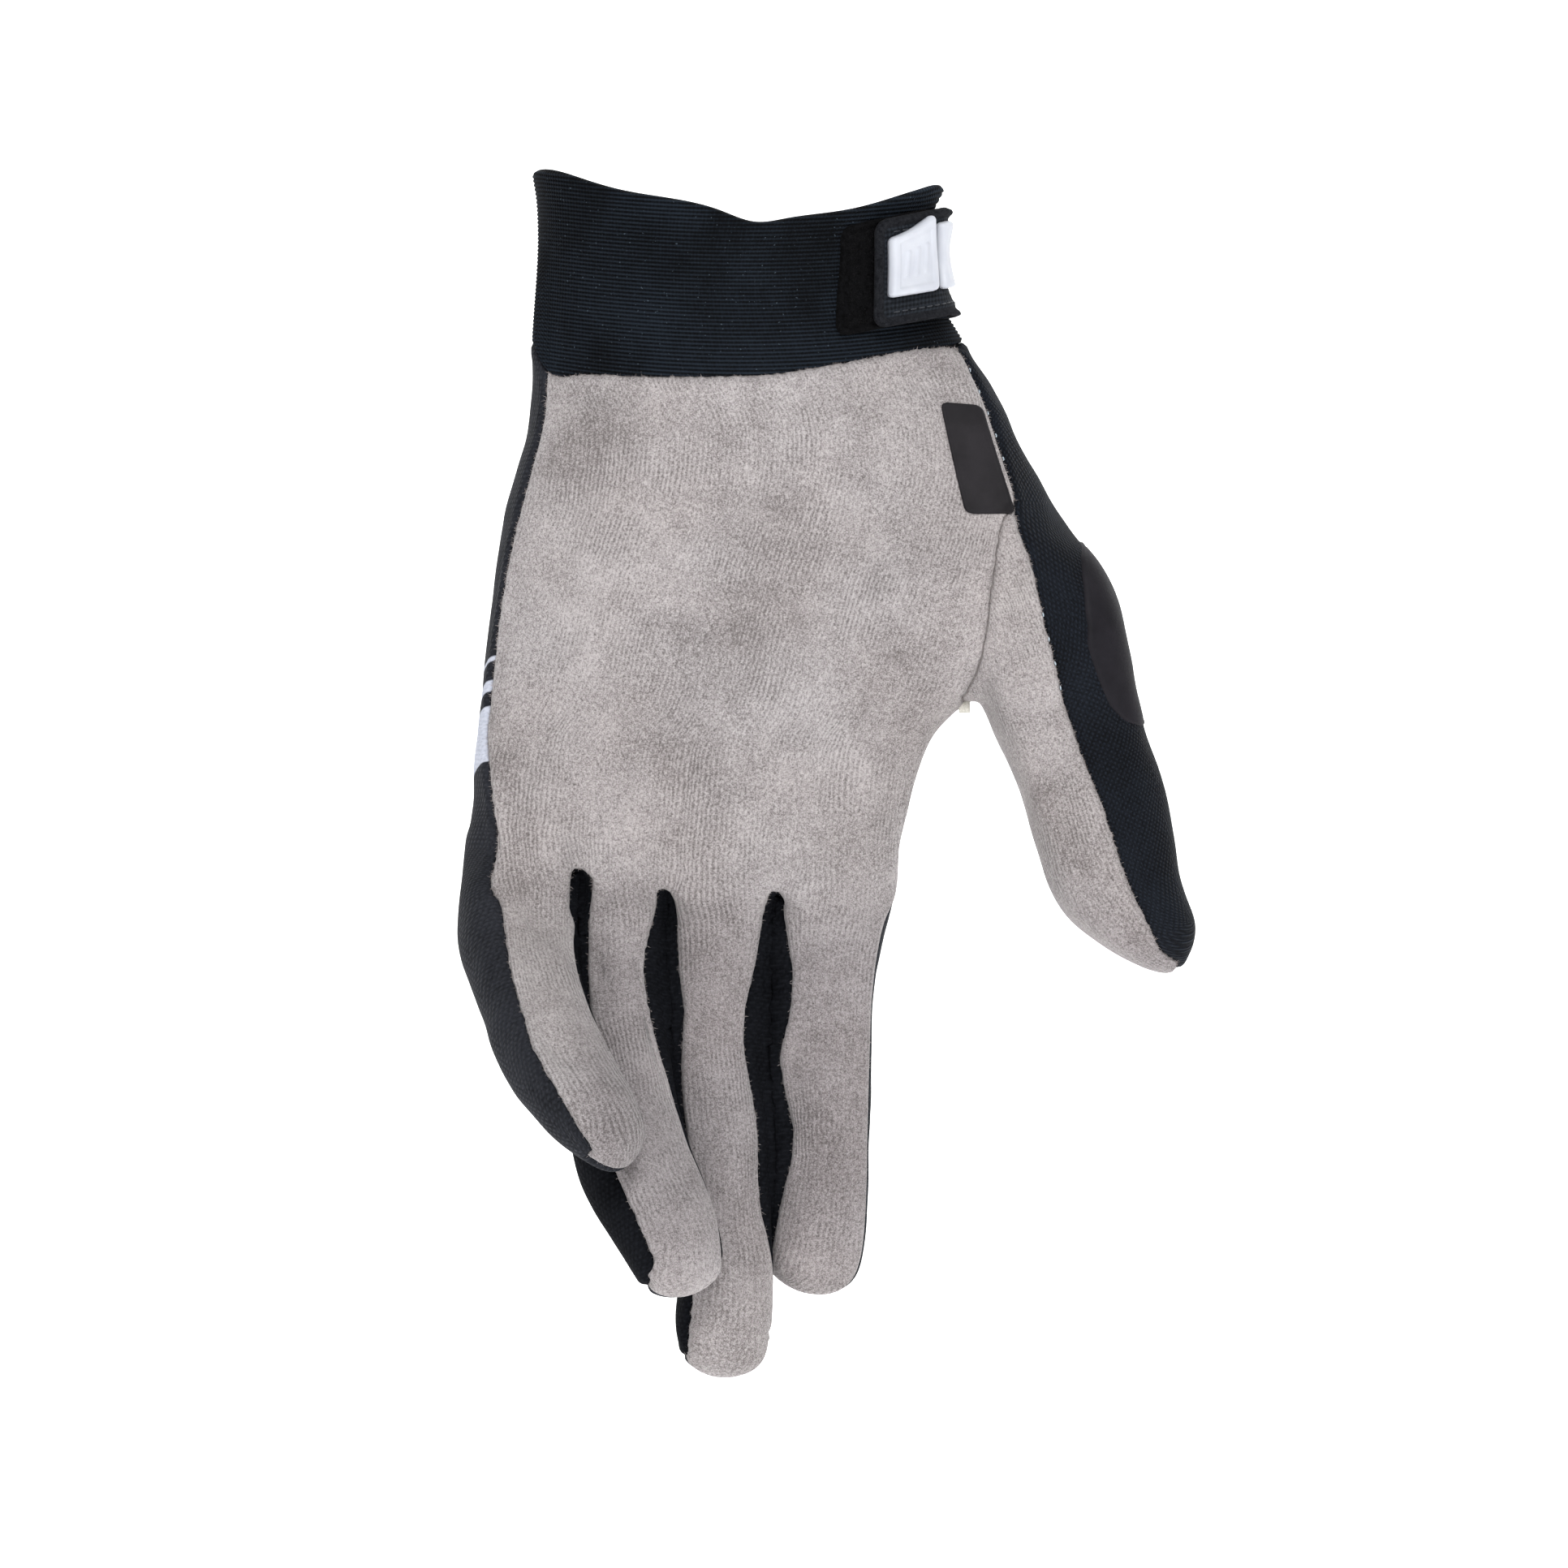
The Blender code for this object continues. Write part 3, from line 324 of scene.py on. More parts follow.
def finger_sizes():
    """Sizes and sections of each finger; each one curls clear of the finger behind it."""
    ring_reach = MIDDLE_REACH + (MIDDLE_DEPTH + RING_DEPTH) / 2 + FINGER_CLEARANCE
    little_reach = (ring_reach * RING_SHARE_BEHIND_LITTLE + (RING_DEPTH + LITTLE_DEPTH) / 2
                    + FINGER_CLEARANCE)
    return {
        "little": Finger(LITTLE_LENGTH, LITTLE_WIDTH, LITTLE_DEPTH, little_reach,
                         LITTLE_SECTIONS, FINGER_ANGLES),
        "ring": Finger(RING_LENGTH, RING_WIDTH, RING_DEPTH, ring_reach,
                       RING_SECTIONS, FINGER_ANGLES),
        "middle": Finger(MIDDLE_LENGTH, MIDDLE_WIDTH, MIDDLE_DEPTH, MIDDLE_REACH,
                         MIDDLE_SECTIONS, FINGER_ANGLES),
        "index": Finger(INDEX_LENGTH, INDEX_WIDTH, INDEX_DEPTH, INDEX_REACH,
                        INDEX_SECTIONS, INDEX_ANGLES),
    }


FINGERS = finger_sizes()
ROOT_WIDTHS = {name: FINGERS[name].width * ROOT_SHARES[name] for name in FINGER_NAMES}
HAND_BREADTH = sum(ROOT_WIDTHS.values()) + WEB_WIDTH * (len(FINGER_NAMES) - 1)


def root_spans():
    """Lowest and highest X of each finger's root on the crotch line."""
    spans = {}
    edge = PALM_ROWS[-1].ulnar * HAND_BREADTH
    for name in FINGER_NAMES:
        spans[name] = (edge, edge + ROOT_WIDTHS[name])
        edge += ROOT_WIDTHS[name] + WEB_WIDTH
    return spans


ROOT_SPANS = root_spans()


def knuckle_shares():
    """Where the twelve columns lie between the two seams on the crotch line, from 0 to 1."""
    first = PALM_ROWS[-1].ulnar_seam * HAND_BREADTH
    last = PALM_ROWS[-1].radial_seam * HAND_BREADTH
    places = []
    for name in FINGER_NAMES:
        low, high = ROOT_SPANS[name]
        inset = ROOT_INSET * (high - low)
        low = max(low + inset, first)
        high = min(high - inset, last)
        places += [low, (low + high) / 2, high]
    places[0] = first
    places[-1] = last
    return [(place - first) / (last - first) for place in places]


KNUCKLE_SHARES = knuckle_shares()


def lerp(start, end, share):
    return start + (end - start) * share


def arch(across, lip, hollow, square):
    """Share of the half depth at a place across the hand: lip at the seams, 1 in between."""
    swell = 1 - abs(2 * across - 1) ** square
    dip = hollow * (1 - (2 * across - 1) ** 2) ** HOLLOW_POWER
    return lip + (1 - lip) * swell - dip


def hand_ring(cage, columns, half_depth, centre_y, sides, lips, hollow, square, knuckle, skip_side):
    """One closed ring of the hand: ulnar side, palm columns, radial side, back columns."""
    front = []
    back = []
    for number, (share, x, z) in enumerate(columns):
        lip = lips[0] if share < 0.5 else lips[1]
        ahead = arch(share, lip, hollow, square)
        behind = arch(share, lip, 0, square)
        if number % FINGER_COLUMNS == FINGER_COLUMNS // 2:
            behind += knuckle
        front.append(cage.point((x, centre_y - half_depth * ahead, z)))
        back.append(cage.point((x, centre_y + half_depth * behind, z)))
    ulnar = cage.point((sides[0][0], centre_y, sides[0][1]))
    radial = None if skip_side else cage.point((sides[1][0], centre_y, sides[1][1]))
    return [ulnar] + front + [radial] + back[::-1]


def edge_rise(across, column):
    stations = [station.across for station in EDGE_STATIONS]
    values = [getattr(station, column) for station in EDGE_STATIONS]
    return float(numpy.interp(across, stations, values))


def cuff_ring(cage, row):
    """A ring of the cuff, whose height goes over from the rim's outline to the seam's."""
    rim_low = -RIM_LEVEL * CUFF_HEIGHT
    seam_low = -CUFF_HEIGHT
    ulnar = row.ulnar * CUFF_WIDTH
    radial = row.radial * CUFF_WIDTH
    inset = CUFF_SEAM_INSET * CUFF_WIDTH

    def height(across, seam_extra):
        rim = rim_low + edge_rise(across, "rim") * CUFF_HEIGHT
        seam = seam_low + max(edge_rise(across, "seam"), seam_extra) * CUFF_HEIGHT
        return lerp(rim, seam, row.down)

    columns = []
    for number in range(COLUMNS):
        share = number / (COLUMNS - 1)
        columns.append((share, lerp(ulnar + inset, radial - inset, share), height(share, 0)))
    sides = ((ulnar, height(0, SIDE_SEAM_RISE)), (radial, height(1, SIDE_SEAM_RISE)))
    return hand_ring(cage, columns, row.depth * CUFF_DEPTH / 2, 0, sides,
                     (CUFF_LIP, CUFF_LIP), 0, CUFF_SQUARE, 0, False)


def palm_ring(cage, row, skip_side):
    """A ring of the palm and the back of the hand."""
    first = row.ulnar_seam * HAND_BREADTH
    last = row.radial_seam * HAND_BREADTH
    level = -CUFF_HEIGHT - row.down * PALM_LENGTH

    def height(across):
        return level + row.rise * PALM_LENGTH * max(0, 1 - 2 * across) ** RISE_POWER

    columns = []
    for number in range(COLUMNS):
        share = lerp(number / (COLUMNS - 1), KNUCKLE_SHARES[number], row.fan)
        columns.append((share, lerp(first, last, share), height(share)))
    sides = ((row.ulnar * HAND_BREADTH, height(0)), (row.radial * HAND_BREADTH, height(1)))
    return hand_ring(cage, columns, row.depth * PALM_DEPTH / 2, -row.lean * PALM_DEPTH, sides,
                     (row.ulnar_lip, row.radial_lip), row.hollow, PALM_SQUARE, row.knuckle,
                     skip_side)


def hand_panels(upper, lower):
    """The panel of each face between two rows of the palm, None where the thumb opens."""
    beside_thumb = upper >= FIRST_THUMB_ROW and lower <= LAST_THUMB_ROW
    above_thumb = lower <= FIRST_THUMB_ROW
    side = None if beside_thumb else "thumb_back_panel" if above_thumb else "back_panel"
    edge = side if beside_thumb or above_thumb else "palm_panel"
    palm = ["palm_panel"] * (COLUMNS - 1)
    back = ["back_panel"] * (COLUMNS - 1)
    return ["back_panel"] + palm + [edge, side] + back + ["back_panel"]


def shaped(value):
    return math.copysign(abs(value) ** SQUARENESS, value)


def section_ring(cage, centre, side, front, width, depth, angles):
    """Points round a section, at angles from its side direction towards its front."""
    ring = []
    for angle in angles:
        across = shaped(math.cos(math.radians(angle))) * width / 2
        ahead = shaped(math.sin(math.radians(angle))) * depth / 2
        ring.append(cage.point(centre + side * across + front * ahead))
    return ring


def rolled(side, front, degrees):
    angle = math.radians(degrees)
    turned_front = front * math.cos(angle) + side * math.sin(angle)
    turned_side = side * math.cos(angle) - front * math.sin(angle)
    return turned_side, turned_front


def add_cap(cage, ring, tip, first, panels, first_side=0):
    """Four faces that close a ring round its tip."""
    count = len(ring)
    for number in range(4):
        start = first + 2 * number
        corners = [ring[(start + step) % count] for step in (2, 1, 0)]
        cage.face(corners + [tip], panels[number], first_side + number // 2)


def finger_line(name):
    """The middle line of a finger, from its root to its tip."""
    finger = FINGERS[name]
    low, high = ROOT_SPANS[name]
    start = Vector(((low + high) / 2, -PALM_ROWS[-1].lean * PALM_DEPTH,
                    -CUFF_HEIGHT - PALM_LENGTH))
    return [start] + [start + Vector((row.across * finger.width, -row.curl * finger.reach,
                                      -row.down * finger.length)) for row in finger.sections]


def add_finger(cage, name, root, panels):
    """Rings from a root of eight points to the finger's tip."""
    finger = FINGERS[name]
    centres = finger_line(name)
    upper = root
    cage.measure(root)
    starts = (cage.charts[(root[2], 0)][0], cage.charts[(root[6], 1)][0])
    down = CUFF_HEIGHT + PALM_LENGTH
    for number, row in enumerate(finger.sections[:-1], start=1):
        along = (centres[number + 1] - centres[number - 1]).normalized()
        side = along.cross(Vector((0, 1, 0))).normalized()
        front = along.cross(side)
        side, front = rolled(side, front, row.roll)
        ring = section_ring(cage, centres[number], side, front, row.width * finger.width,
                            row.depth * finger.depth, finger.angles)
        down += (centres[number] - centres[number - 1]).length
        cage.measure(ring, 0, down, starts)
        cage.band(upper, ring, panels)
        upper = ring
    tip = cage.point(centres[-1])
    down += (centres[-1] - centres[-2]).length
    for side in (0, 1):
        cage.charts[(tip, side)] = (starts[side], down)
    add_cap(cage, upper, tip, 0, ("palm_panel", "palm_panel", "back_panel", "back_panel"))


def thumb_frame():
    """The middle of the thumb's opening, and the thumb's directions along and outwards."""
    middle = PALM_ROWS[(FIRST_THUMB_ROW + LAST_THUMB_ROW) // 2]
    root = Vector((middle.radial_seam * HAND_BREADTH, -middle.lean * PALM_DEPTH,
                   -CUFF_HEIGHT - middle.down * PALM_LENGTH))
    splay = math.radians(THUMB_SPLAY)
    return root, Vector((math.sin(splay), 0, -math.cos(splay))), splay


def thumb_centre(row):
    root, along, splay = thumb_frame()
    outwards = Vector((math.cos(splay), 0, math.sin(splay)))
    return (root + along * row.down * THUMB_LENGTH + outwards * row.across * THUMB_WIDTH
            + Vector((0, -row.curl * THUMB_REACH, 0)))


def add_thumb(cage, opening):
    """Rings from the opening in the hand's thumb side to the thumb's tip."""
    panels = ["thumb_palm_panel" if number in THUMB_SUEDE else "thumb_back_panel"
              for number in range(len(THUMB_ANGLES))]
    splay = thumb_frame()[2]
    upper = opening
    before = thumb_frame()[0]
    down = 0.0
    cage.measure(opening, 2, down)
    for row in THUMB_SECTIONS[:-1]:
        tilt = splay + math.radians(row.turn)
        side = Vector((math.cos(tilt), 0, math.sin(tilt)))
        side, front = rolled(side, Vector((0, -1, 0)), row.roll)
        ring = section_ring(cage, thumb_centre(row), side, front, row.width * THUMB_WIDTH,
                            row.depth * THUMB_DEPTH, THUMB_ANGLES)
        down += (thumb_centre(row) - before).length
        before = thumb_centre(row)
        cage.measure(ring, 2, down)
        cage.band(upper, ring, panels, 2)
        upper = ring
    tip = cage.point(thumb_centre(THUMB_SECTIONS[-1]))
    down += (thumb_centre(THUMB_SECTIONS[-1]) - before).length
    for side in (2, 3):
        cage.charts[(tip, side)] = (0.0, down)
    add_cap(cage, upper, tip, 1, ("thumb_back_panel", "thumb_palm_panel",
                                  "thumb_palm_panel", "thumb_back_panel"), 2)


def add_webs(cage, ring):
    """The strips between the roots, and each finger's root of eight points."""
    front = ring[1:COLUMNS + 1]
    back = ring[COLUMNS + 2:][::-1]
    lean = PALM_ROWS[-1].lean * PALM_DEPTH
    left_sides = [ring[0]]
    right_sides = []
    for number in range(len(FINGER_NAMES) - 1):
        panel = f"fourchette_{FINGER_NAMES[number]}_{FINGER_NAMES[number + 1]}"
        edge = ROOT_SPANS[FINGER_NAMES[number]][1]
        column = FINGER_COLUMNS * (number + 1) - 1
        height = cage.points[front[column]].z + WEB_RISE * WEB_WIDTH
        right = cage.point((edge, -lean, height))
        left = cage.point((edge + WEB_WIDTH, -lean, height))
        cage.face((front[column], right, left, front[column + 1]), panel)
        cage.face((right, back[column], back[column + 1], left), panel)
        right_sides.append(right)
        left_sides.append(left)
    right_sides.append(ring[COLUMNS + 1])
    roots = []
    for number in range(len(FINGER_NAMES)):
        columns = slice(FINGER_COLUMNS * number, FINGER_COLUMNS * (number + 1))
        roots.append([left_sides[number]] + front[columns] + [right_sides[number]]
                     + back[columns][::-1])
    return roots


def finger_panels(number):
    """Panels of the eight faces round a finger, from its ulnar side over the palm side."""
    left = "back_panel"
    right = "back_panel"
    if number > 0:
        left = f"fourchette_{FINGER_NAMES[number - 1]}_{FINGER_NAMES[number]}"
    if number < len(FINGER_NAMES) - 1:
        right = f"fourchette_{FINGER_NAMES[number]}_{FINGER_NAMES[number + 1]}"
    palm = "palm_panel"
    back = "back_panel"
    edge = palm if number == len(FINGER_NAMES) - 1 else right
    return [left, palm, palm, edge, right, back, back, left]


def build_cage():
    cage = Cage()
    rings = [cuff_ring(cage, row) for row in CUFF_ROWS]
    for ring in rings:
        cage.measure(ring)
    for number, (upper, lower) in enumerate(zip(rings, rings[1:])):
        cage.band(upper, lower, ["cuff"] * len(upper), row=number)
    upper = rings[-1]
    palm_rings = []
    for number, row in enumerate(PALM_ROWS):
        lower = palm_ring(cage, row, FIRST_THUMB_ROW < number < LAST_THUMB_ROW)
        cage.measure(lower)
        cage.band(upper, lower, hand_panels(number - 1, number))
        palm_rings.append(lower)
        upper = lower
    for number, root in enumerate(add_webs(cage, upper)):
        add_finger(cage, FINGER_NAMES[number], root, finger_panels(number))
    last_front = COLUMNS
    first_back = COLUMNS + 2
    opening_rows = palm_rings[FIRST_THUMB_ROW:LAST_THUMB_ROW + 1]
    backs = [ring[first_back] for ring in opening_rows]
    fronts = [ring[last_front] for ring in opening_rows[::-1]]
    outer = opening_rows[0][COLUMNS + 1]
    inner = opening_rows[-1][COLUMNS + 1]
    add_thumb(cage, [outer] + backs + [inner] + fronts)
    return cage


Skin = namedtuple("Skin", "places normals faces panels charts grid")


def read(items, name, width=1, kind=float):
    """A value of every item, as an array."""
    values = numpy.empty(len(items) * width, dtype=kind)
    items.foreach_get(name, values)
    return values


def fine_skin(cage, points, panel_names, levels):
    """The smooth skin at a fine level as arrays, with the cloth's lengths at each corner."""
    mesh = bpy.data.meshes.new("skin")
    mesh.from_pydata(points, [], cage.faces)
    lengths = mesh.uv_layers.new(name="cloth")
    steps = mesh.uv_layers.new(name="grid")
    loop = 0
    for number, face in enumerate(cage.faces):
        mesh.polygons[number].material_index = panel_names.index(cage.panels[number])
        for corner, point in enumerate(face):
            lengths.data[loop].uv = cage.measured(point, cage.sides[number])
            steps.data[loop].uv = cage.cells[number][corner]
            loop += 1
    for name in panel_names:
        mesh.materials.append(bpy.data.materials.new(name))
    guide = bpy.data.objects.new("skin_guide", mesh)
    bpy.context.scene.collection.objects.link(guide)
    subdivision = guide.modifiers.new("smooth", "SUBSURF")
    subdivision.levels = levels
    subdivision.render_levels = levels
    subdivision.use_limit_surface = True
    subdivision.uv_smooth = "NONE"
    depsgraph = bpy.context.evaluated_depsgraph_get()
    smooth = bpy.data.meshes.new_from_object(guide.evaluated_get(depsgraph))
    skin = Skin(read(smooth.vertices, "co", 3).reshape(-1, 3),
                read(smooth.vertex_normals, "vector", 3).reshape(-1, 3),
                read(smooth.loops, "vertex_index", kind=int).reshape(-1, 4),
                read(smooth.polygons, "material_index", kind=int),
                *(read(smooth.uv_layers[name].data, "uv", 2).reshape(-1, 4, 2)
                  for name in ("cloth", "grid")))
    bpy.data.objects.remove(guide, do_unlink=True)
    bpy.data.meshes.remove(mesh)
    bpy.data.meshes.remove(smooth)
    return skin


def fitted_points(cage, panel_names):
    """Places of the cage's corners that draw the skin through the wanted points."""
    wanted = numpy.array([tuple(point) for point in cage.points])
    moved = wanted.copy()
    for _ in range(FIT_PASSES):
        skin = fine_skin(cage, moved.tolist(), panel_names, 1)
        moved += (wanted - skin.places[:len(wanted)]) * FIT_STEP
    return moved.tolist()


def new_piece(name, places, faces, look, replaced=(), charts=None):
    """A mesh piece that rides on the glove's one body."""
    mesh = bpy.data.meshes.new(name)
    mesh.from_pydata(places, [], faces)
    if charts is not None:
        layer = mesh.uv_layers.new(name="cloth")
        layer.data.foreach_set("uv", numpy.asarray(charts, dtype=float).ravel())
    mesh.shade_smooth()
    mesh.materials.append(look)
    piece = bpy.data.objects.new(name, mesh)
    bpy.context.scene.collection.objects.link(piece)
    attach(piece, "root")
    if replaced:
        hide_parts(*replaced)
    return piece


# ---- materials

# The shader inputs that Look.finish sets in turn
SHADER_INPUTS = ("Base Color", "Roughness", "Specular IOR Level", "Sheen Weight",
                 "Sheen Roughness")
# The knit's rows: how far they lean, and their pitch
KNIT_SLANT = 0.45
KNIT_PITCH = 0.0011
MESH_SLANTS = (0.75, -0.75)
MESH_PITCH = 0.00092
WALE_PITCH = 0.0009
# Between which places along the fingers, and from which across, the suede is darkened with painted
# shade
FINGER_SHADE_TOP = (-0.130, -0.152)
FINGER_SHADE_END = (-0.225, -0.200)
FINGER_SHADE_SIDE = (-0.034, -0.026)
# The plain light stripe: its bands' levels, the softness of their edges, and its inner end
STRIPE_BANDS = ((-0.1165, -0.1045), (-0.1020, -0.0996), (-0.0962, -0.0950))
STRIPE_EDGE = 0.0003
STRIPE_INNER = -0.0455
STRIPE_LEAN = 0.55


class Look:
    """A material whose shader nodes are put together by calls."""

    def __init__(self, name):
        self.material = bpy.data.materials.new(name)
        self.material.use_nodes = True
        self.tree = self.material.node_tree
        self.shader = self.tree.nodes["Principled BSDF"]
        self.space = self.put("ShaderNodeTexCoord").outputs["Object"]

    def join(self, value, socket):
        """Links a value that is a socket, and writes any other."""
        if isinstance(value, bpy.types.NodeSocket):
            self.tree.links.new(value, socket)
        else:
            socket.default_value = value

    def put(self, kind, inputs=None, **settings):
        """A shader node; inputs are values or sockets by name or number."""
        made = self.tree.nodes.new(kind)
        for key, value in settings.items():
            setattr(made, key, value)
        for key, value in (inputs or {}).items():
            self.join(value, made.inputs[key])
        return made

    def calc(self, operation, *values):
        return self.put("ShaderNodeMath", dict(enumerate(values)), operation=operation).outputs[0]

    def add(self, start, *parts):
        """A start value plus each part times its weight."""
        for part, weight in parts:
            start = self.calc("MULTIPLY_ADD", part, weight, start)
        return start

    def middle(self, part):
        """A part from 0 to 1, measured from its middle."""
        return self.calc("SUBTRACT", part, 0.5)

    def noise(self, scale, detail=2.0, roughness=0.55):
        return self.put("ShaderNodeTexNoise", {"Vector": self.space, "Scale": scale,
                                               "Detail": detail,
                                               "Roughness": roughness}).outputs["Fac"]

    def remap(self, value, low, high, new_low=0.0, new_high=1.0):
        return self.put("ShaderNodeMapRange", {"Value": value, "From Min": low, "From Max": high,
                                               "To Min": new_low,
                                               "To Max": new_high}).outputs["Result"]

    def tint(self, factor, first, second, mode="MIX"):
        """Colour between two; the node's colour sockets are found by identifier."""
        made = self.put("ShaderNodeMix", data_type="RGBA", blend_type=mode)
        sockets = {socket.identifier: socket for socket in made.inputs}
        for key, value in (("Factor_Float", factor), ("A_Color", first), ("B_Color", second)):
            self.join(value + (1.0,) if isinstance(value, tuple) else value, sockets[key])
        return next(socket for socket in made.outputs if socket.identifier == "Result_Color")

    def ridges(self, along, pitch, bend=None, amount=0.0):
        """Waves from 0 to 1 along a length, with their pitch in metres."""
        turns = self.calc("MULTIPLY", along, 2 * math.pi / pitch)
        if bend is not None:
            turns = self.add(turns, (bend, amount))
        return self.add(0.5, (self.calc("SINE", turns), 0.5))

    def axes(self, vector):
        made = self.put("ShaderNodeSeparateXYZ", {0: vector})
        return [made.outputs[axis] for axis in "XYZ"]

    def lengths(self):
        """Lengths across and down the cloth."""
        return self.axes(self.put("ShaderNodeUVMap", uv_map="cloth").outputs["UV"])[:2]

    def finish(self, color, values, height=None, distance=0.0, strength=1.0):
        """Sets the colour, the other values of SHADER_INPUTS in turn, and a bump."""
        for name, value in zip(SHADER_INPUTS, (color,) + values):
            self.join(value, self.shader.inputs[name])
        if height is not None:
            bump = self.put("ShaderNodeBump", {"Height": height, "Distance": distance,
                                               "Strength": strength})
            self.tree.links.new(bump.outputs["Normal"], self.shader.inputs["Normal"])
        return self.material


def suede_look():
    """Napped suede: blotches, grain and fibre over faint wales, with painted shade darkening the
    fingers.
    """
    look = Look("suede_nap")
    across = look.lengths()[0]
    grain = look.noise(1500.0, 2.0, 0.6)
    fibre = look.noise(3600.0, 2.0, 0.7)
    wale = look.ridges(across, WALE_PITCH, look.noise(300.0), 7.0)
    faint = look.remap(look.noise(60.0), 0.42, 0.66, 0.15, 1.0)
    lines = look.calc("MULTIPLY", look.middle(wale), faint)
    total = 0.5
    for part, weight in ((look.noise(42.0, 3.0), 0.9), (look.noise(150.0, 4.0), 0.60),
                         (grain, 1.20), (fibre, 2.3)):
        total = look.add(total, (look.middle(part), weight))
    total = look.add(total, (lines, 0.40))
    color = look.tint(look.remap(total, 0.0, 1.0), (0.160, 0.143, 0.141), (0.520, 0.487, 0.490))
    warm = look.calc("MULTIPLY", look.remap(look.noise(26.0), 0.35, 0.65), 0.25)
    color = look.tint(warm, color, (1.04, 0.97, 0.93), "MULTIPLY")
    x, _, z = look.axes(look.space)
    # Painted shade: the suede is darkened along the ring, middle and index fingers, but not the
    # little finger
    painted_shade = look.calc("MULTIPLY", look.remap(z, *FINGER_SHADE_TOP), look.remap(z, *FINGER_SHADE_END))
    painted_shade = look.calc("MULTIPLY", painted_shade, look.remap(x, *FINGER_SHADE_SIDE))
    color = look.tint(painted_shade, color, (0.76, 0.75, 0.76), "MULTIPLY")
    height = look.add(look.calc("MULTIPLY", grain, 0.8), (lines, 0.5), (fibre, 0.7))
    return look.finish(color, (0.95, 0.15, 0.30, 0.45), height, 0.00040)


def knit_look(name, low, high):
    """Dark stretch knit in fine slanted rows, with its colour, its heather and its height."""
    look = Look(name)
    across, down = look.lengths()
    wander = look.noise(220.0)
    rows = look.ridges(look.add(across, (down, KNIT_SLANT)), KNIT_PITCH, wander, 1.2)
    loops = look.ridges(down, KNIT_PITCH * 0.8, wander, 1.2)
    yarn = look.calc("MULTIPLY", rows, loops)
    heather = look.noise(1500.0, 3.0, 0.7)
    total = look.add(0.36, (look.middle(heather), 1.6), (yarn, 0.45),
                     (look.middle(look.noise(90.0, 3.0)), 0.8))
    color = look.tint(look.remap(total, 0.0, 1.0), low, high)
    return look, color, heather, look.add(yarn, (heather, 0.5))


def back_look():
    """Stretch knit of the hand's back, with a plain light stripe by the little finger's edge."""
    look, color, heather, height = knit_look("heathered_knit", (0.006, 0.0066, 0.0085),
                                             (0.030, 0.032, 0.040))
    x, y, z = look.axes(look.space)
    level = look.add(z, (y, STRIPE_LEAN))
    mask = 0.0
    for low, high in STRIPE_BANDS:
        above = look.remap(level, low, low + STRIPE_EDGE)
        below = look.remap(level, high, high - STRIPE_EDGE)
        mask = look.calc("MAXIMUM", look.calc("MULTIPLY", above, below), mask)
    side = look.remap(x, STRIPE_INNER, STRIPE_INNER - STRIPE_EDGE)
    weave = look.tint(heather, (0.40, 0.43, 0.52), (0.66, 0.68, 0.76))
    color = look.tint(look.calc("MULTIPLY", mask, side), color, weave)
    return look.finish(color, (0.82, 0.10, 0.03, 0.4), height, 0.00022, 0.8)


def gusset_look():
    """Knit of the strips between the fingers, nearly black."""
    look, color, _, height = knit_look("gusset_knit", (0.0020, 0.0022, 0.0030),
                                       (0.010, 0.011, 0.014))
    return look.finish(color, (0.9, 0.05), height, 0.0002, 0.7)


def mesh_look():
    """Air mesh on the thumb: staggered dimples in navy-black knit."""
    look = Look("air_mesh")
    across, down = look.lengths()
    wander = look.noise(180.0)
    cell = look.calc("MULTIPLY", *(look.ridges(look.add(across, (down, slant)), MESH_PITCH,
                                               wander, 1.6) for slant in MESH_SLANTS))
    heather = look.noise(1700.0, 2.0, 0.7)
    total = look.add(0.14, (look.middle(heather), 0.9), (cell, 0.7),
                     (look.middle(look.noise(70.0)), 0.7))
    color = look.tint(look.remap(total, 0.0, 1.0), (0.0010, 0.0015, 0.0030),
                      (0.0155, 0.0205, 0.0310))
    return look.finish(color, (0.75, 0.12, 0.02, 0.4), look.add(cell, (heather, 0.2)),
                       0.00035, 0.9)


def rib_look():
    """Elastic of the cuff: fine yarn lines, a painted highlight on the rib crests, and lint."""
    look = Look("ribbed_elastic")
    across, down = look.lengths()
    heather = look.noise(1400.0, 3.0, 0.7)
    cloud = look.middle(look.noise(45.0, 3.0))
    stitch = look.ridges(across, 0.0007)
    # Painted highlight: the colour is lighter along each rib's crest, following the rib phase
    # carried in the cloth's down length
    crest_highlight = look.calc("POWER", look.ridges(down, RIB_PITCH), 1.6)
    total = look.add(0.0, (look.middle(heather), 0.8), (cloud, 0.9), (stitch, 0.10),
                     (crest_highlight, look.add(0.80, (cloud, 2.2))))
    color = look.tint(look.remap(total, 0.0, 1.0), (0.0002, 0.0005, 0.0012),
                      (0.0112, 0.0165, 0.0245))
    lint = look.calc("MULTIPLY", look.remap(look.noise(2300.0, 0.0), 0.80, 0.85), 0.25)
    color = look.tint(lint, color, (0.16, 0.21, 0.26))
    return look.finish(color, (0.8, 0.10, 0.01, 0.4), look.add(stitch, (heather, 0.5)),
                       0.00012, 0.7)


def fuzz_look(name, low, high):
    """Short fibres: a colour for each place, rough and without bump."""
    look = Look(name)
    tone = look.remap(look.noise(2200.0, 2.0, 0.7), 0.3, 0.7)
    return look.finish(look.tint(tone, low, high), (0.9, 0.08, 0.05))


def pile_look(name, low, high, scale, depth):
    """Matt pile or felt, such as the loop patch and the strap's bound edge."""
    look = Look(name)
    total = look.add(0.0, (look.noise(scale, 3.0, 0.65), 0.6),
                     (look.noise(scale * 3.5, 2.0, 0.6), 0.4))
    color = look.tint(look.remap(total, 0.35, 0.66), low, high)
    return look.finish(color, (0.92, 0.06, 0.01, 0.4), total, depth, 0.9)


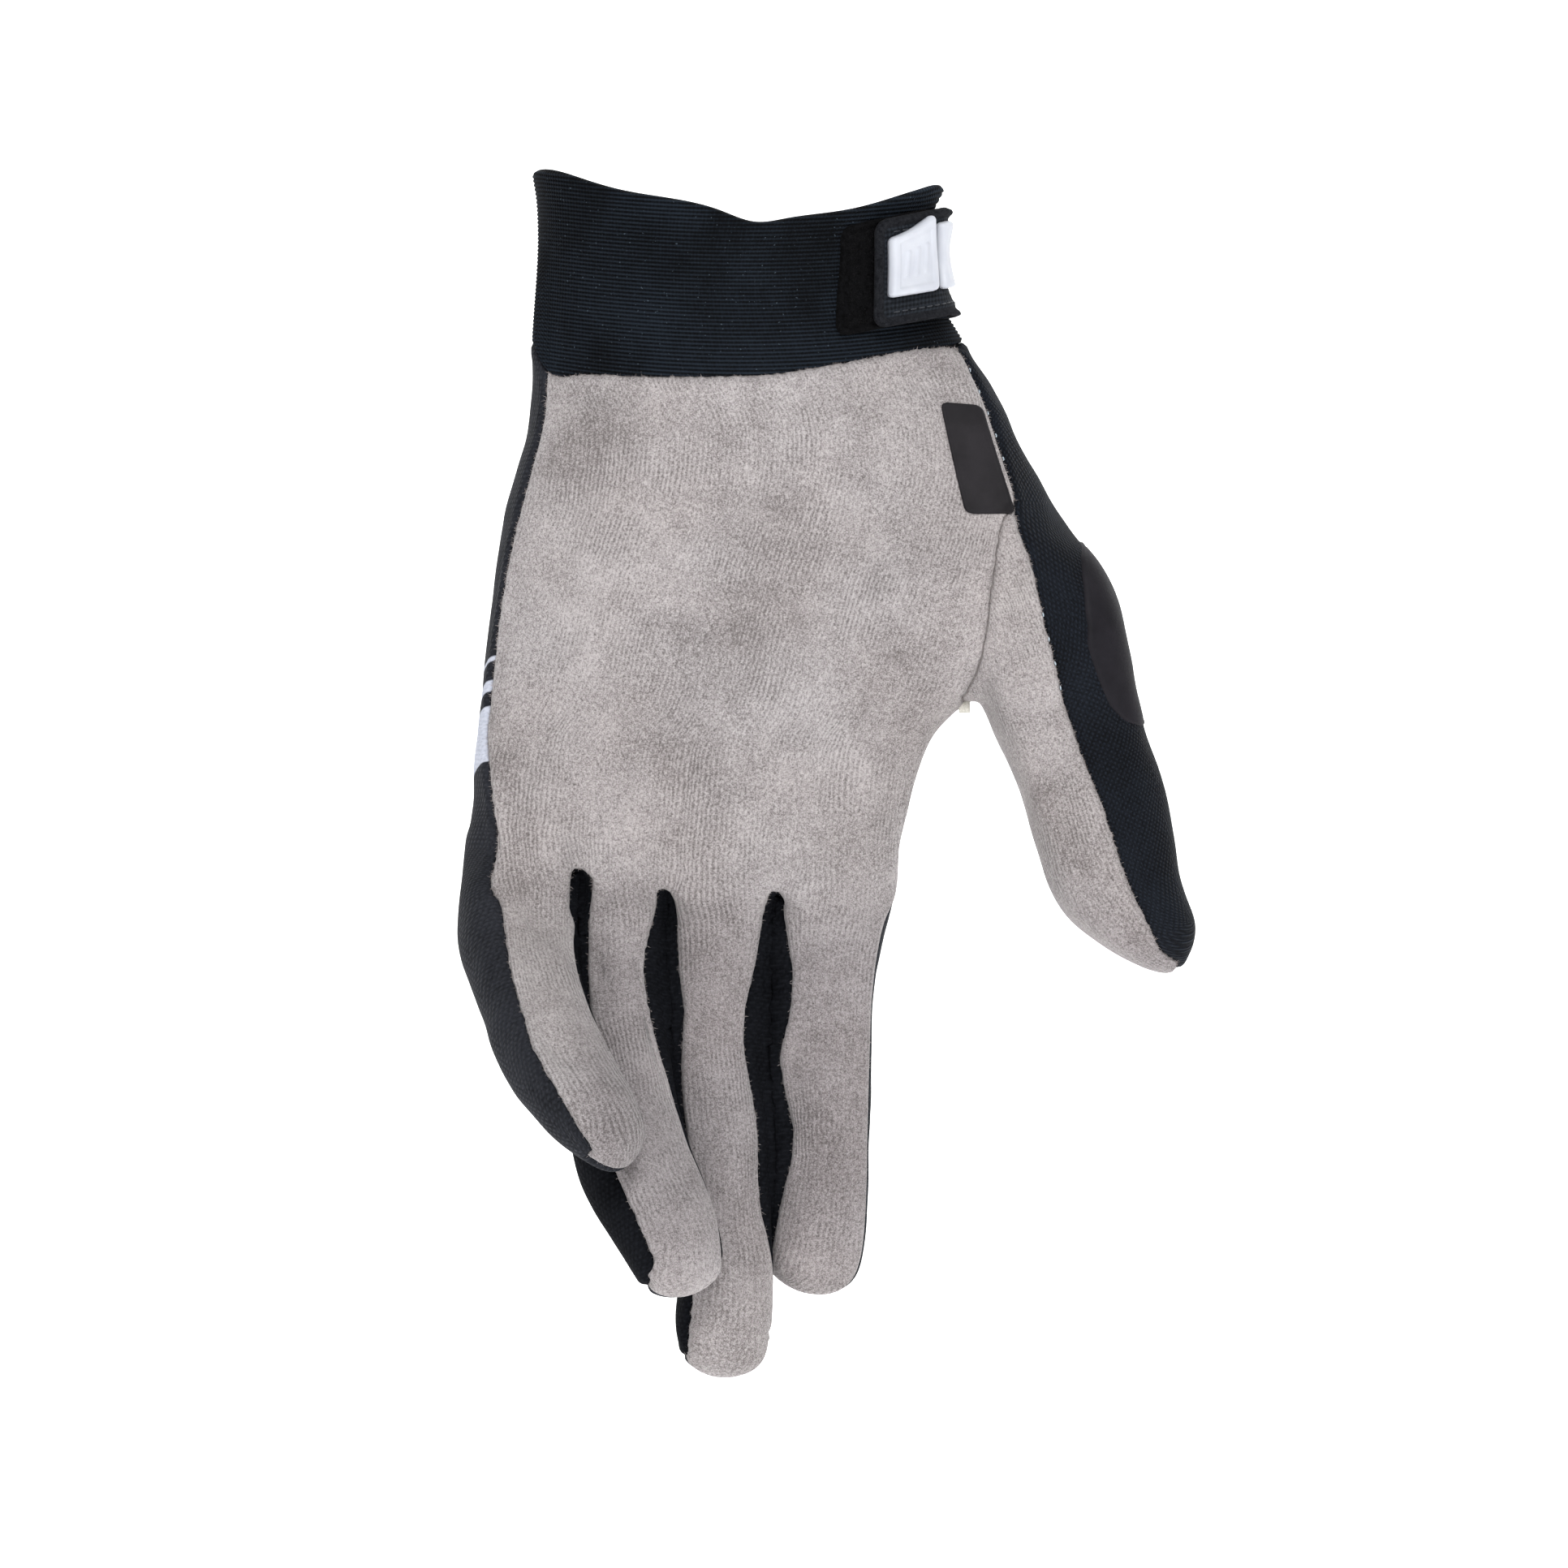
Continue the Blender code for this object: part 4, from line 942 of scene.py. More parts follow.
def webbing_look():
    """The strap's woven face: fine ribs along its length."""
    look = Look("strap_weave")
    across, down = look.lengths()
    wander = look.noise(260.0)
    yarn = look.add(0.0, (look.ridges(down, 0.0010, wander, 1.5), 0.6),
                    (look.ridges(across, 0.0008, wander, 1.5), 0.4))
    total = look.add(yarn, (look.middle(look.noise(1600.0, 2.0, 0.7)), 1.0))
    color = look.tint(look.remap(total, 0.1, 1.0), (0.0035, 0.0045, 0.0060),
                      (0.020, 0.024, 0.031))
    return look.finish(color, (0.8, 0.10, 0.01), yarn, 0.00022, 0.8)


def rubber_look():
    """White moulded rubber with a fine matt skin and faint grime."""
    look = Look("moulded_rubber")
    cloud = look.remap(look.noise(160.0, 3.0), 0.35, 0.75)
    color = look.tint(cloud, (0.53, 0.55, 0.61), (0.60, 0.62, 0.67))
    look.shader.inputs["Subsurface Weight"].default_value = 0.08
    look.shader.inputs["Subsurface Radius"].default_value = (0.001, 0.0008, 0.0007)
    rough = look.remap(look.noise(400.0), 0.3, 0.7, 0.38, 0.55)
    return look.finish(color, (rough,), look.noise(2400.0), 0.00004, 0.5)


def coated_look(name, low, high):
    """Smooth coated cloth of the label and of the thumb's overlay."""
    look = Look(name)
    grain = look.noise(2600.0, 2.0, 0.6)
    tone = look.add(look.remap(look.noise(120.0, 3.0), 0.3, 0.7), (look.middle(grain), 0.8))
    rough = look.remap(grain, 0.3, 0.7, 0.55, 0.72)
    return look.finish(look.tint(tone, low, high), (rough, 0.15), grain, 0.00006, 0.6)


def thread_look(name, low, high):
    """Sewing thread with a fine grain."""
    look = Look(name)
    grain = look.noise(3200.0, 2.0, 0.6)
    color = look.tint(look.remap(grain, 0.35, 0.65), low, high)
    return look.finish(color, (0.6,), grain, 0.00008, 0.8)


# ---- panels

LEVELS = 4
INNER_LEVELS = 2
GROOVE_DEPTH = 0.00045
GROOVE_WIDTH = 0.00060
# The swelling beside a seam: its height, its distance and its width
EDGE_SWELL = 0.00016
SWELL_AWAY = 0.0016
SWELL_WIDTH = 0.0010
# Soft wrinkles, each with its size, its height and its seed, and the calm strip by a seam
WRINKLES = ((0.018, 0.00080, 1), (0.007, 0.00028, 2))
CALM_WIDTH = 0.003
# Raggedness of the seams: its size, its height and its first seed
RAGGED_SIZE = 0.0011
RAGGED = 0.00034
RAGGED_SEED = 10
# Swelling of the fingers' sides towards each other
SIDE_REACH = 0.0042
SIDE_FADE = 0.0012
SIDE_INSET = 0.0004
SIDE_CLEAR = 0.00006
SEAM_SPLIT = 0.00007
PROUD = 0.00018
# The slide of the suede's borders to where they show: most of it, its spread, and its end's fade
SLIDE_MOST = 0.0060
SLIDE_SPREAD = 0.0042
SLIDE_FADE = 14
SLIDE_PASSES = 6
SLIDE_STRETCH = 3.0
# Where the borders show, pixels across and down, for each finger's side (1 is the thumb's)
SEAM_LINES = {
    ("little", 0): ((616, 629, 655, 690, 708, 728), (1110, 1200, 1290, 1350, 1380, 1415)),
    ("little", 1): ((715, 704, 702, 704, 714, 727), (1066, 1095, 1130, 1177, 1217, 1250)),
    ("ring", 0): ((716, 729, 723, 721, 726, 740, 760, 783, 786, 795, 798),
                  (1064, 1084, 1138, 1194, 1250, 1300, 1370, 1430, 1470, 1530, 1600)),
    ("ring", 1): ((812, 808, 794, 792, 799, 810, 827, 842, 862, 888, 900),
                  (1105, 1130, 1180, 1217, 1263, 1314, 1359, 1400, 1440, 1490, 1610)),
    ("middle", 0): ((822, 831, 834, 841, 839, 837, 840, 846, 852, 851, 846, 842),
                    (1105, 1130, 1189, 1246, 1280, 1320, 1365, 1420, 1560, 1610, 1650, 1700)),
    ("middle", 1): ((951, 942, 934, 922, 921, 930, 935, 933, 935, 950, 960, 965),
                    (1105, 1125, 1185, 1246, 1291, 1348, 1393, 1450, 1496, 1535, 1560, 1700)),
    ("index", 0): ((958, 965, 974, 971, 958, 964, 975, 972, 958, 948, 940),
                   (1105, 1135, 1195, 1246, 1302, 1342, 1390, 1433, 1490, 1545, 1610)),
}
MESH_LINE = ((1190, 1196, 1207, 1233, 1258, 1283, 1298, 1312, 1333, 1358, 1387, 1430),
             (432, 455, 480, 560, 630, 750, 810, 870, 930, 990, 1080, 1170))
CREASE_LINE = ((1237, 1227, 1222, 1214, 1205, 1190), (640, 690, 720, 790, 830, 856))
# Pixels down between which thread ends show along the thumb's mesh
SEAM_BITS = ((440, 600), (735, 900))

# Dents and swellings of the palm side, in millimetres: centre, half sizes, turn in degrees, height
Dent = namedtuple("Dent", "x z wide tall turn height")
DENTS = (
    Dent(-39.0, -142.0, 2.4, 5.0, 35, -2.2),
    Dent(-35.0, -166.5, 2.2, 5.5, 45, -1.5),
    Dent(-35.5, -129.5, 2.4, 3.6, -10, -1.7),
    Dent(-28.5, -152.5, 2.2, 4.5, 40, -1.1),
    Dent(-44.0, -120.0, 2.6, 7.0, -15, -0.8),
    Dent(-17.0, -134.5, 3.0, 3.0, 0, -0.9),
    Dent(5.5, -135.0, 3.0, 3.0, 0, -0.9),
    Dent(-22.0, -150.0, 2.6, 4.0, 20, -0.9),
    Dent(-7.0, -163.0, 6.0, 2.4, 0, -0.5),
    Dent(13.0, -166.0, 6.0, 2.4, 6, -0.5),
    Dent(-7.0, -186.0, 6.0, 2.4, 0, -0.5),
    Dent(12.0, -189.0, 6.0, 2.6, -4, -0.5),
    Dent(-20.0, -105.0, 5.0, 14.0, -35, -0.6),
    Dent(12.0, -118.0, 12.0, 3.0, 12, -0.5),
    Dent(4.0, -75.0, 4.0, 16.0, -22, 0.5),
    Dent(-28.0, -80.0, 5.0, 18.0, 10, 0.4),
    Dent(33.0, -96.0, 3.0, 10.0, 28, -0.5),
    Dent(58.0, -108.0, 2.6, 5.0, 0, -0.5),
    Dent(62.0, -120.0, 3.0, 3.0, 30, -0.35),
)


def dent_heights(places):
    """Height of the dents at each place, on the side of the palm only."""
    x = places[:, 0] * 1000
    z = places[:, 2] * 1000
    total = numpy.zeros(len(places))
    for dent in DENTS:
        turn = math.radians(dent.turn)
        right = (x - dent.x) * math.cos(turn) + (z - dent.z) * math.sin(turn)
        up = (z - dent.z) * math.cos(turn) - (x - dent.x) * math.sin(turn)
        total += dent.height * numpy.exp(-(right / dent.wide) ** 2 - (up / dent.tall) ** 2)
    return total / 1000


def rolling(places, size, seed):
    """Smooth noise from -1 to 1 over places, for bumps of about that size."""
    shift = Vector((seed * 7.3, seed * 3.1, seed * 5.7))
    return numpy.array([noise.noise(Vector(place) / size + shift) for place in places])


def near_tree(places):
    tree = KDTree(len(places))
    for number, place in enumerate(places):
        tree.insert(place, number)
    tree.balance()
    return tree


def surface_of(skin):
    return BVHTree.FromPolygons([Vector(place) for place in skin.places], skin.faces.tolist())


def bell(value, middle, width):
    return numpy.exp(-((value - middle) / width) ** 2)


def seam_mask(skin):
    """Which vertices two panels share."""
    first = numpy.full(len(skin.places), -1)
    shared = numpy.zeros(len(skin.places), dtype=bool)
    for corner in range(4):
        numbers = skin.faces[:, corner]
        for panel in numpy.unique(skin.panels):
            here = numpy.unique(numbers[skin.panels == panel])
            shared[here] |= (first[here] >= 0) & (first[here] != panel)
            first[here] = numpy.where(first[here] < 0, panel, first[here])
    return shared


def side_swells(skin, panel_names, away):
    """Heights that bring the sides of neighbouring fingers together, so no light shows through."""
    tree = surface_of(skin)
    swell = numpy.zeros(len(skin.places))
    for panel, name in enumerate(panel_names):
        if not name.startswith("fourchette"):
            continue
        for number in numpy.unique(skin.faces[skin.panels == panel]):
            normal = Vector(skin.normals[number])
            start = Vector(skin.places[number]) + normal * 0.0001
            face, distance = tree.ray_cast(start, normal, SIDE_REACH)[2:]
            if face is None or skin.panels[face] != panel:
                continue
            fade = min(1, (SIDE_REACH - distance) / SIDE_FADE)
            inset = min(1, max(0, (away[number] - SIDE_INSET) / SIDE_INSET / 2))
            swell[number] = (distance / 2 - SIDE_CLEAR) * fade * inset
    return swell


def on_panels(skin, panel_names, *names):
    """Which vertices belong to any of some panels."""
    found = numpy.zeros(len(skin.places), dtype=bool)
    for name in names:
        found[skin.faces[skin.panels == panel_names.index(name)]] = True
    return found


def slides_from(skin, mine, wanted, reached):
    """Moves across for the vertices near some of the seams, to where the photograph has them."""
    shift = numpy.zeros(len(skin.places))
    seams = skin.places[mine]
    if len(seams) == 0:
        return shift
    moves = []
    for place in seams:
        across, down = shown(place)
        target = float(numpy.interp(down, wanted[1], wanted[0]))
        fade = min(1, max(0, (down - wanted[1][0]) / SLIDE_FADE + 1),
                   max(0, (wanted[1][-1] - down) / SLIDE_FADE + 1))
        moves.append(min(SLIDE_MOST, max(-SLIDE_MOST, (target - across) * PIXEL)) * fade)
    tree = near_tree(seams)
    for number in numpy.nonzero(reached)[0]:
        _, spot, distance = tree.find(skin.places[number])
        if distance < 3 * SLIDE_SPREAD:
            shift[number] = moves[spot] * math.exp(-(distance / SLIDE_SPREAD) ** 2)
    return shift


def eased(skin, values):
    """Values at the vertices, evened out with their neighbours' ones."""
    here = numpy.concatenate([skin.faces[:, corner] for corner in range(4)])
    after = numpy.concatenate([skin.faces[:, (corner + 1) % 4] for corner in range(4)])
    both = numpy.concatenate((here, after))
    count = numpy.bincount(both, minlength=len(values))
    for _ in range(SLIDE_PASSES):
        total = numpy.bincount(here, values[after], len(values))
        total += numpy.bincount(after, values[here], len(values))
        values = (values + total / count) / 2
    return values


def slid_skin(skin, panel_names):
    """The skin with the suede's borders slid to where the photograph has them."""
    x, y, z = skin.places.T
    suede = on_panels(skin, panel_names, "palm_panel")
    shared = seam_mask(skin)
    fingers = z < -CUFF_HEIGHT - PALM_LENGTH * 0.82
    roots = z < -CUFF_HEIGHT - PALM_LENGTH * 0.9
    gaps = []
    middles = []
    for name in FINGER_NAMES:
        line = numpy.array(finger_line(name))
        across, depth = (numpy.interp(-z, -line[:, 2], line[:, axis]) for axis in (0, 1))
        gaps.append(numpy.hypot(x - across, y - depth))
        middles.append(across)
    nearest = numpy.argmin(gaps, axis=0)
    shift = numpy.zeros(len(skin.places))
    for (name, side), wanted in SEAM_LINES.items():
        finger = FINGER_NAMES.index(name)
        mine = shared & suede & (skin.normals[:, 1] < 0.25) & roots & (nearest == finger)
        mine &= (x > middles[finger]) == bool(side)
        shift += slides_from(skin, mine, wanted, fingers & (nearest == finger))
    mesh = on_panels(skin, panel_names, "thumb_back_panel")
    ball = on_panels(skin, panel_names, "thumb_palm_panel")
    thumb = (x > 0.018) & (z > -0.165)
    for mine, wanted in ((mesh & (suede | ball) & (skin.normals[:, 1] < 0.5), MESH_LINE),
                         (suede & ball, CREASE_LINE)):
        shift += slides_from(skin, mine & shared, wanted, thumb)
    shift = eased(skin, shift)
    surface = surface_of(skin)
    places = skin.places.copy()
    for number in numpy.nonzero(numpy.abs(shift) > 1e-5)[0]:
        normal = skin.normals[number]
        along = numpy.array((1.0, 0.0, 0.0)) - normal * normal[0]
        stretch = min(SLIDE_STRETCH, 1 / max(along[0], 1e-6))
        moved = places[number] + along * shift[number] * stretch
        found, turned = surface.find_nearest(Vector(moved))[:2]
        if turned.dot(Vector(normal)) > 0.3:
            places[number] = found
    return skin._replace(places=places)


def shaped_skin(skin, panel_names):
    """The skin with seam grooves, soft wrinkles and the palm's dents."""
    seams = seam_mask(skin)
    tree = near_tree(skin.places[seams])
    away = numpy.array([tree.find(place)[2] for place in skin.places])
    height = -GROOVE_DEPTH * bell(away, 0, GROOVE_WIDTH)
    swell = side_swells(skin, panel_names, away)
    height += swell
    height += EDGE_SWELL * bell(away, SWELL_AWAY, SWELL_WIDTH)
    apart = (swell == 0).astype(float)
    soft = numpy.clip(away / CALM_WIDTH, 0, 1) * numpy.minimum(apart, eased(skin, apart))
    for size, tall, seed in WRINKLES:
        height += rolling(skin.places, size, seed) * tall * soft
    facing = numpy.clip(-skin.normals[:, 1] * 1.5, 0, 1)
    height += dent_heights(skin.places) * facing * soft
    places = skin.places + skin.normals * height[:, None]
    for axis in range(3):
        places[seams, axis] += rolling(skin.places[seams], RAGGED_SIZE,
                                       RAGGED_SEED + axis) * RAGGED
    return skin._replace(places=places)


def panel_edges(faces):
    """Directed edges on a panel's border, by vertex number."""
    here = faces.ravel()
    after = numpy.roll(faces, -1, axis=1).ravel()
    forward = set(zip(here.tolist(), after.tolist()))
    return [(a, b) for a, b in forward if (b, a) not in forward]


def part_of(skin, panel):
    """One panel's vertex numbers, its faces by those numbers' order, and its cloth lengths."""
    mine = skin.faces[skin.panels == panel]
    used, local = numpy.unique(mine, return_inverse=True)
    return used, local.reshape(mine.shape), skin.charts[skin.panels == panel]


def add_panel(name, skin, inner, panel, wall, look, slot):
    """One panel: outer face, a rim turned inwards and a lining face."""
    used, faces, charts = part_of(skin, panel)
    places = skin.places[used].copy()
    normals = skin.normals[used]
    edges = panel_edges(faces)
    border = sorted({number for edge in edges for number in edge})
    lift = numpy.full(len(places), PROUD if slot == "suede" else 0.0)
    lift[border] = 0
    places += normals * lift[:, None]
    centres = places[faces].mean(axis=1)
    inwards = numpy.zeros(places.shape)
    for corner in range(4):
        numpy.add.at(inwards, faces[:, corner], centres - places[faces[:, corner]])
    inwards = inwards[border]
    inwards /= numpy.maximum(numpy.linalg.norm(inwards, axis=1), 1e-9)[:, None]
    places[border] += inwards * SEAM_SPLIT
    order = {number: len(places) + position for position, number in enumerate(border)}
    rim = places[border] - normals[border] * wall
    inner_used, inner_faces, inner_charts = part_of(inner, panel)
    inner_faces = inner_faces[:, ::-1] + len(places) + len(rim)
    inner_places = inner.places[inner_used] - inner.normals[inner_used] * wall
    uv = dict(zip(faces.ravel().tolist(), charts.reshape(-1, 2)))
    all_faces = faces.tolist()
    all_charts = list(charts.reshape(-1, 2))
    for here, after in edges:
        all_faces.append([after, here, order[here], order[after]])
        all_charts += [uv[after], uv[here], uv[here], uv[after]]
    all_faces += inner_faces.tolist()
    all_charts += list(inner_charts[:, ::-1].reshape(-1, 2))
    return new_piece(name + "_cloth", numpy.vstack((places, rim, inner_places)).tolist(),
                     all_faces, look, (name,), all_charts)


# ---- cuff

RIB_PITCH = 0.00078
RIB_HEIGHT = 0.00030
RIB_SAG = 0.0044
RIM_LIFT = 0.0035
CUFF_LINES = 336
CUFF_THREADS = 2
LINING_LINES = 40


def cuff_grid(skin, panel, levels):
    """The cuff's smooth surface as rows and columns of places and normals."""
    steps = 2 ** levels
    cells = numpy.rint(skin.grid[skin.panels == panel] * steps).astype(int)
    columns = (2 * COLUMNS + 2) * steps
    numbers = numpy.full(((len(CUFF_ROWS) - 1) * steps + 1, columns), -1)
    numbers[cells[:, :, 1], cells[:, :, 0] % columns] = skin.faces[skin.panels == panel]
    return skin.places[numbers], skin.normals[numbers]


def resample(rows, count):
    """More rows between those of a grid, evenly spaced in row number."""
    wanted = numpy.linspace(0, len(rows) - 1, count)
    low = numpy.minimum(wanted.astype(int), len(rows) - 2)
    share = (wanted - low)[:, None, None]
    here = rows[low]
    after = rows[low + 1]
    slope_here = (after - rows[numpy.maximum(low - 1, 0)]) / 2
    slope_after = (rows[numpy.minimum(low + 2, len(rows) - 1)] - here) / 2
    square = share ** 2
    cube = share ** 3
    return ((2 * cube - 3 * square + 1) * here + (cube - 2 * square + share) * slope_here
            + (3 * square - 2 * cube) * after + (cube - square) * slope_after)


def add_cuff(skin, panel, look):
    """The cuff with its ribs, the lifted corners of its rim, and its lining."""
    places, normals = cuff_grid(skin, panel, LEVELS)
    places = resample(places[:, ::CUFF_THREADS], CUFF_LINES)
    normals = resample(normals[:, ::CUFF_THREADS], CUFF_LINES)
    normals /= numpy.linalg.norm(normals, axis=2)[:, :, None]
    palm_side = places[:, :, 1] < 0
    across = places[:, :, 0] / CUFF_WIDTH + 0.5
    phase = places[:, :, 2] - places[-1, :, 2].mean() - RIB_SAG * (2 * across - 1) ** 2
    calm = 1 - 0.45 * bell(across, 0.52, 0.15) * palm_side
    high = bell(places[:, :, 2], places[0, :, 2][None, :], RIM_LIFT)
    left = high * bell(across, across[0].min(), 0.035)
    right = high * bell(across, across[0].max(), 0.035)
    places[:, :, 2] += left * 0.0003 + right * 0.0012
    places[:, :, 0] += right * 0.0007 - left * 0.0004
    ribs = numpy.abs(numpy.sin(phase * math.pi / RIB_PITCH)) ** 0.8
    lines = numpy.arange(CUFF_LINES)
    edge = numpy.clip(numpy.minimum(lines, CUFF_LINES - 1 - lines) / 5.0, 0, 1)[:, None]
    height = (ribs - 1) * RIB_HEIGHT * calm * edge
    height += (edge - 1) * 0.0005
    crease = bell(places[:, :, 0] + 0.0155, (places[:, :, 2] + 0.016) * 0.9, 0.0035)
    height -= crease * 0.00035 * palm_side
    outer = places + normals * height[:, :, None]
    lining = numpy.linspace(0, CUFF_LINES - 1, LINING_LINES).astype(int)
    inner = places[lining] - normals[lining] * CUFF_WALL
    inner[0] += normals[0] * CUFF_WALL * 0.3
    lip = outer[0] - normals[0] * 0.0004 + numpy.array((0, 0, 0.0002))
    grid = numpy.vstack((inner[::-1], [lip], outer))
    # The cloth's down length carries the rib phase, so that the ribbed elastic's painted highlight
    # falls on the crests
    waves = numpy.vstack((phase[lining][::-1], phase[:1], phase)) - RIB_PITCH / 4
    middle = places[CUFF_LINES // 2]
    lengths = numpy.linalg.norm(numpy.roll(middle, -1, axis=0) - middle, axis=1)
    around = numpy.concatenate(([0], numpy.cumsum(lengths)))
    count, columns = grid.shape[:2]
    row, column = numpy.indices((count, columns))
    below, after = (row + 1) % count, (column + 1) % columns
    corners = ((row, column, column), (below, column, column), (below, after, column + 1),
               (row, after, column + 1))
    faces = numpy.stack([at * columns + turn for at, turn, _ in corners], axis=2)
    levels = numpy.stack([waves[at, turn] for at, turn, _ in corners], axis=2)
    levels[-1] = (0, 0.001, 0.001, 0)
    charts = numpy.stack((numpy.stack([around[far] for _, _, far in corners], axis=2), levels),
                         axis=3)
    return new_piece("cuff_elastic", grid.reshape(-1, 3).tolist(),
                     faces.reshape(-1, 4).tolist(), look, ("cuff",), charts)


# ---- trim

def crowded(count):
    """Shares from 0 to 1 that lie closer together at both ends."""
    even = numpy.linspace(-1, 1, count)
    return (numpy.sin(even * math.pi / 2) * 0.35 + even * 0.65 + 1) / 2


def rectangle_grid(length, height, radius, columns, rows):
    """Places over a rounded rectangle, with their distance from its edge."""
    grid = numpy.zeros((rows, columns, 3))
    for row, down in enumerate(crowded(rows) * height):
        near = min(down, height - down)
        inset = radius - math.sqrt(max(0, radius ** 2 - (radius - near) ** 2)) \
            if near < radius else 0
        along = inset + crowded(columns) * (length - 2 * inset)
        side = numpy.minimum(along, length - along)
        corner = radius - numpy.hypot(numpy.clip(radius - side, 0, None), max(radius - near, 0))
        inside = numpy.where((side < radius) & (near < radius), corner, numpy.minimum(side, near))
        grid[row] = numpy.stack((along, numpy.full(columns, down),
                                 numpy.clip(inside, 0, None)), axis=1)
    return grid


class CuffWrap:
    """Finds places on the skin from a length round the cuff and a height."""

    def __init__(self, tree):
        self.tree = tree
        self.angles = numpy.radians(numpy.arange(-180, 181, WRAP_STEP))
        self.known = {}
        self.reference = 0.0
        self.reference = self.outline(-CLOSURE_LEVEL * CUFF_HEIGHT)[0][len(self.angles) // 2]

    def outline(self, height):
        """Lengths and hits round the cuff; lengths are level with each other at one X."""
        height = round(height, 5)
        if height in self.known:
            return self.known[height]
        hits = []
        for angle in self.angles:
            direction = Vector((math.cos(angle), math.sin(angle), 0))
            hit = self.tree.ray_cast(Vector((0, 0, height)), direction)[0]
            if hit is None:
                below_dip = Vector((0, 0, height - RIM_LEVEL * CUFF_HEIGHT))
                hit = self.tree.ray_cast(below_dip, direction)[0]
                hit.z = height
            hits.append(hit)
        places = numpy.array([tuple(hit) for hit in hits])
        steps = numpy.linalg.norm(numpy.diff(places, axis=0), axis=1)
        lengths = numpy.concatenate(([0], numpy.cumsum(steps)))
        half = len(lengths) // 2
        lengths -= numpy.interp(WRAP_LEVEL_X, places[:half, 0], lengths[:half])
        lengths -= self.reference
        if self.reference:
            self.known[height] = (lengths, places)
        return lengths, places

    def place(self, around, height):
        """around is zero at the thumb edge, less than zero on the palm side."""
        lengths, places = self.outline(height)
        return [float(numpy.interp(around, lengths, places[:, axis])) for axis in range(3)]

    def start(self, x):
        """The length at a place across the palm side, at the closure's middle height."""
        lengths, places = self.outline(-CLOSURE_LEVEL * CUFF_HEIGHT)
        half = len(lengths) // 2
        return float(numpy.interp(x, places[:half, 0], lengths[:half]))


def strap_level(around):
    """Height of the closure's middle line, which falls away over the palm side."""
    return -CLOSURE_LEVEL * CUFF_HEIGHT + math.tan(math.radians(STRAP_TILT)) * min(around, 0)


def wrapped_places(wrap, start, height, grid):
    """Places and outward directions round the cuff for a grid of lengths and drops."""
    places = numpy.zeros(grid.shape[:2] + (3,))
    outward = numpy.zeros(grid.shape[:2] + (3,))
    for row in range(grid.shape[0]):
        for column in range(grid.shape[1]):
            around = start + grid[row, column, 0]
            level = strap_level(around) + height / 2 - grid[row, column, 1]
            place = wrap.place(around, level)
            places[row, column] = place
            outward[row, column] = (place[0] / CUFF_WIDTH ** 2, place[1] / CUFF_DEPTH ** 2, 0)
    outward /= numpy.linalg.norm(outward, axis=2)[:, :, None]
    return places, outward


def add_slab(name, places, outward, low, high, grid, look, replaced=()):
    """A closed sheet between two heights over a grid of places."""
    rows, columns = places.shape[:2]
    bottom = places + outward * low[:, :, None]
    top = places + outward * high[:, :, None]
    count = rows * columns
    faces = []
    charts = []
    flat = grid[:, :, :2]

    def at(row, column):
        return row * columns + column

    for row in range(rows - 1):
        for column in range(columns - 1):
            cells = ((row, column), (row + 1, column), (row + 1, column + 1), (row, column + 1))
            faces.append([count + at(*cell) for cell in cells])
            charts += [flat[cell] for cell in cells]
            faces.append([at(*cell) for cell in cells[::-1]])
            charts += [flat[cell] for cell in cells[::-1]]
    rim = [(0, column) for column in range(columns)]
    rim += [(row, columns - 1) for row in range(1, rows)]
    rim += [(rows - 1, column) for column in range(columns - 2, -1, -1)]
    rim += [(row, 0) for row in range(rows - 2, 0, -1)]
    for here, after in zip(rim, rim[1:] + rim[:1]):
        faces.append([at(*after), at(*here), count + at(*here), count + at(*after)])
        charts += [flat[after], flat[here], flat[here], flat[after]]
    points = numpy.vstack((bottom.reshape(-1, 3), top.reshape(-1, 3))).tolist()
    return new_piece(name, points, faces, look, replaced, numpy.array(charts))


def rounded(inside, radius):
    """Height share of a rounded edge at a distance inside it."""
    share = numpy.clip(inside / radius, 0, 1)
    return numpy.sqrt(numpy.clip(1 - (1 - share) ** 2, 0, 1))


def add_fibres(name, roots, directions, lengths, widths, look):
    """Thin bent slivers that stand for loose fibres, as one mesh."""
    roots = numpy.asarray(roots)
    directions = numpy.asarray(directions)
    directions = directions / numpy.linalg.norm(directions, axis=1)[:, None]
    across = numpy.cross(directions, RANDOM.normal(size=roots.shape))
    across /= numpy.linalg.norm(across, axis=1)[:, None]
    bend = RANDOM.normal(size=roots.shape) * lengths[:, None] * 0.28
    middle = roots + directions * lengths[:, None] * 0.55 + bend * 0.5
    end = roots + directions * lengths[:, None] + bend * 1.6
    half = across * widths[:, None] / 2
    points = numpy.stack((roots - half, roots + half, middle + half * 0.8, middle - half * 0.8,
                          end), axis=1).reshape(-1, 3)
    faces = []
    for number in range(len(roots)):
        base = number * 5
        faces.append((base, base + 1, base + 2, base + 3))
        faces.append((base + 3, base + 2, base + 4))
    return new_piece(name, points.tolist(), faces, look)


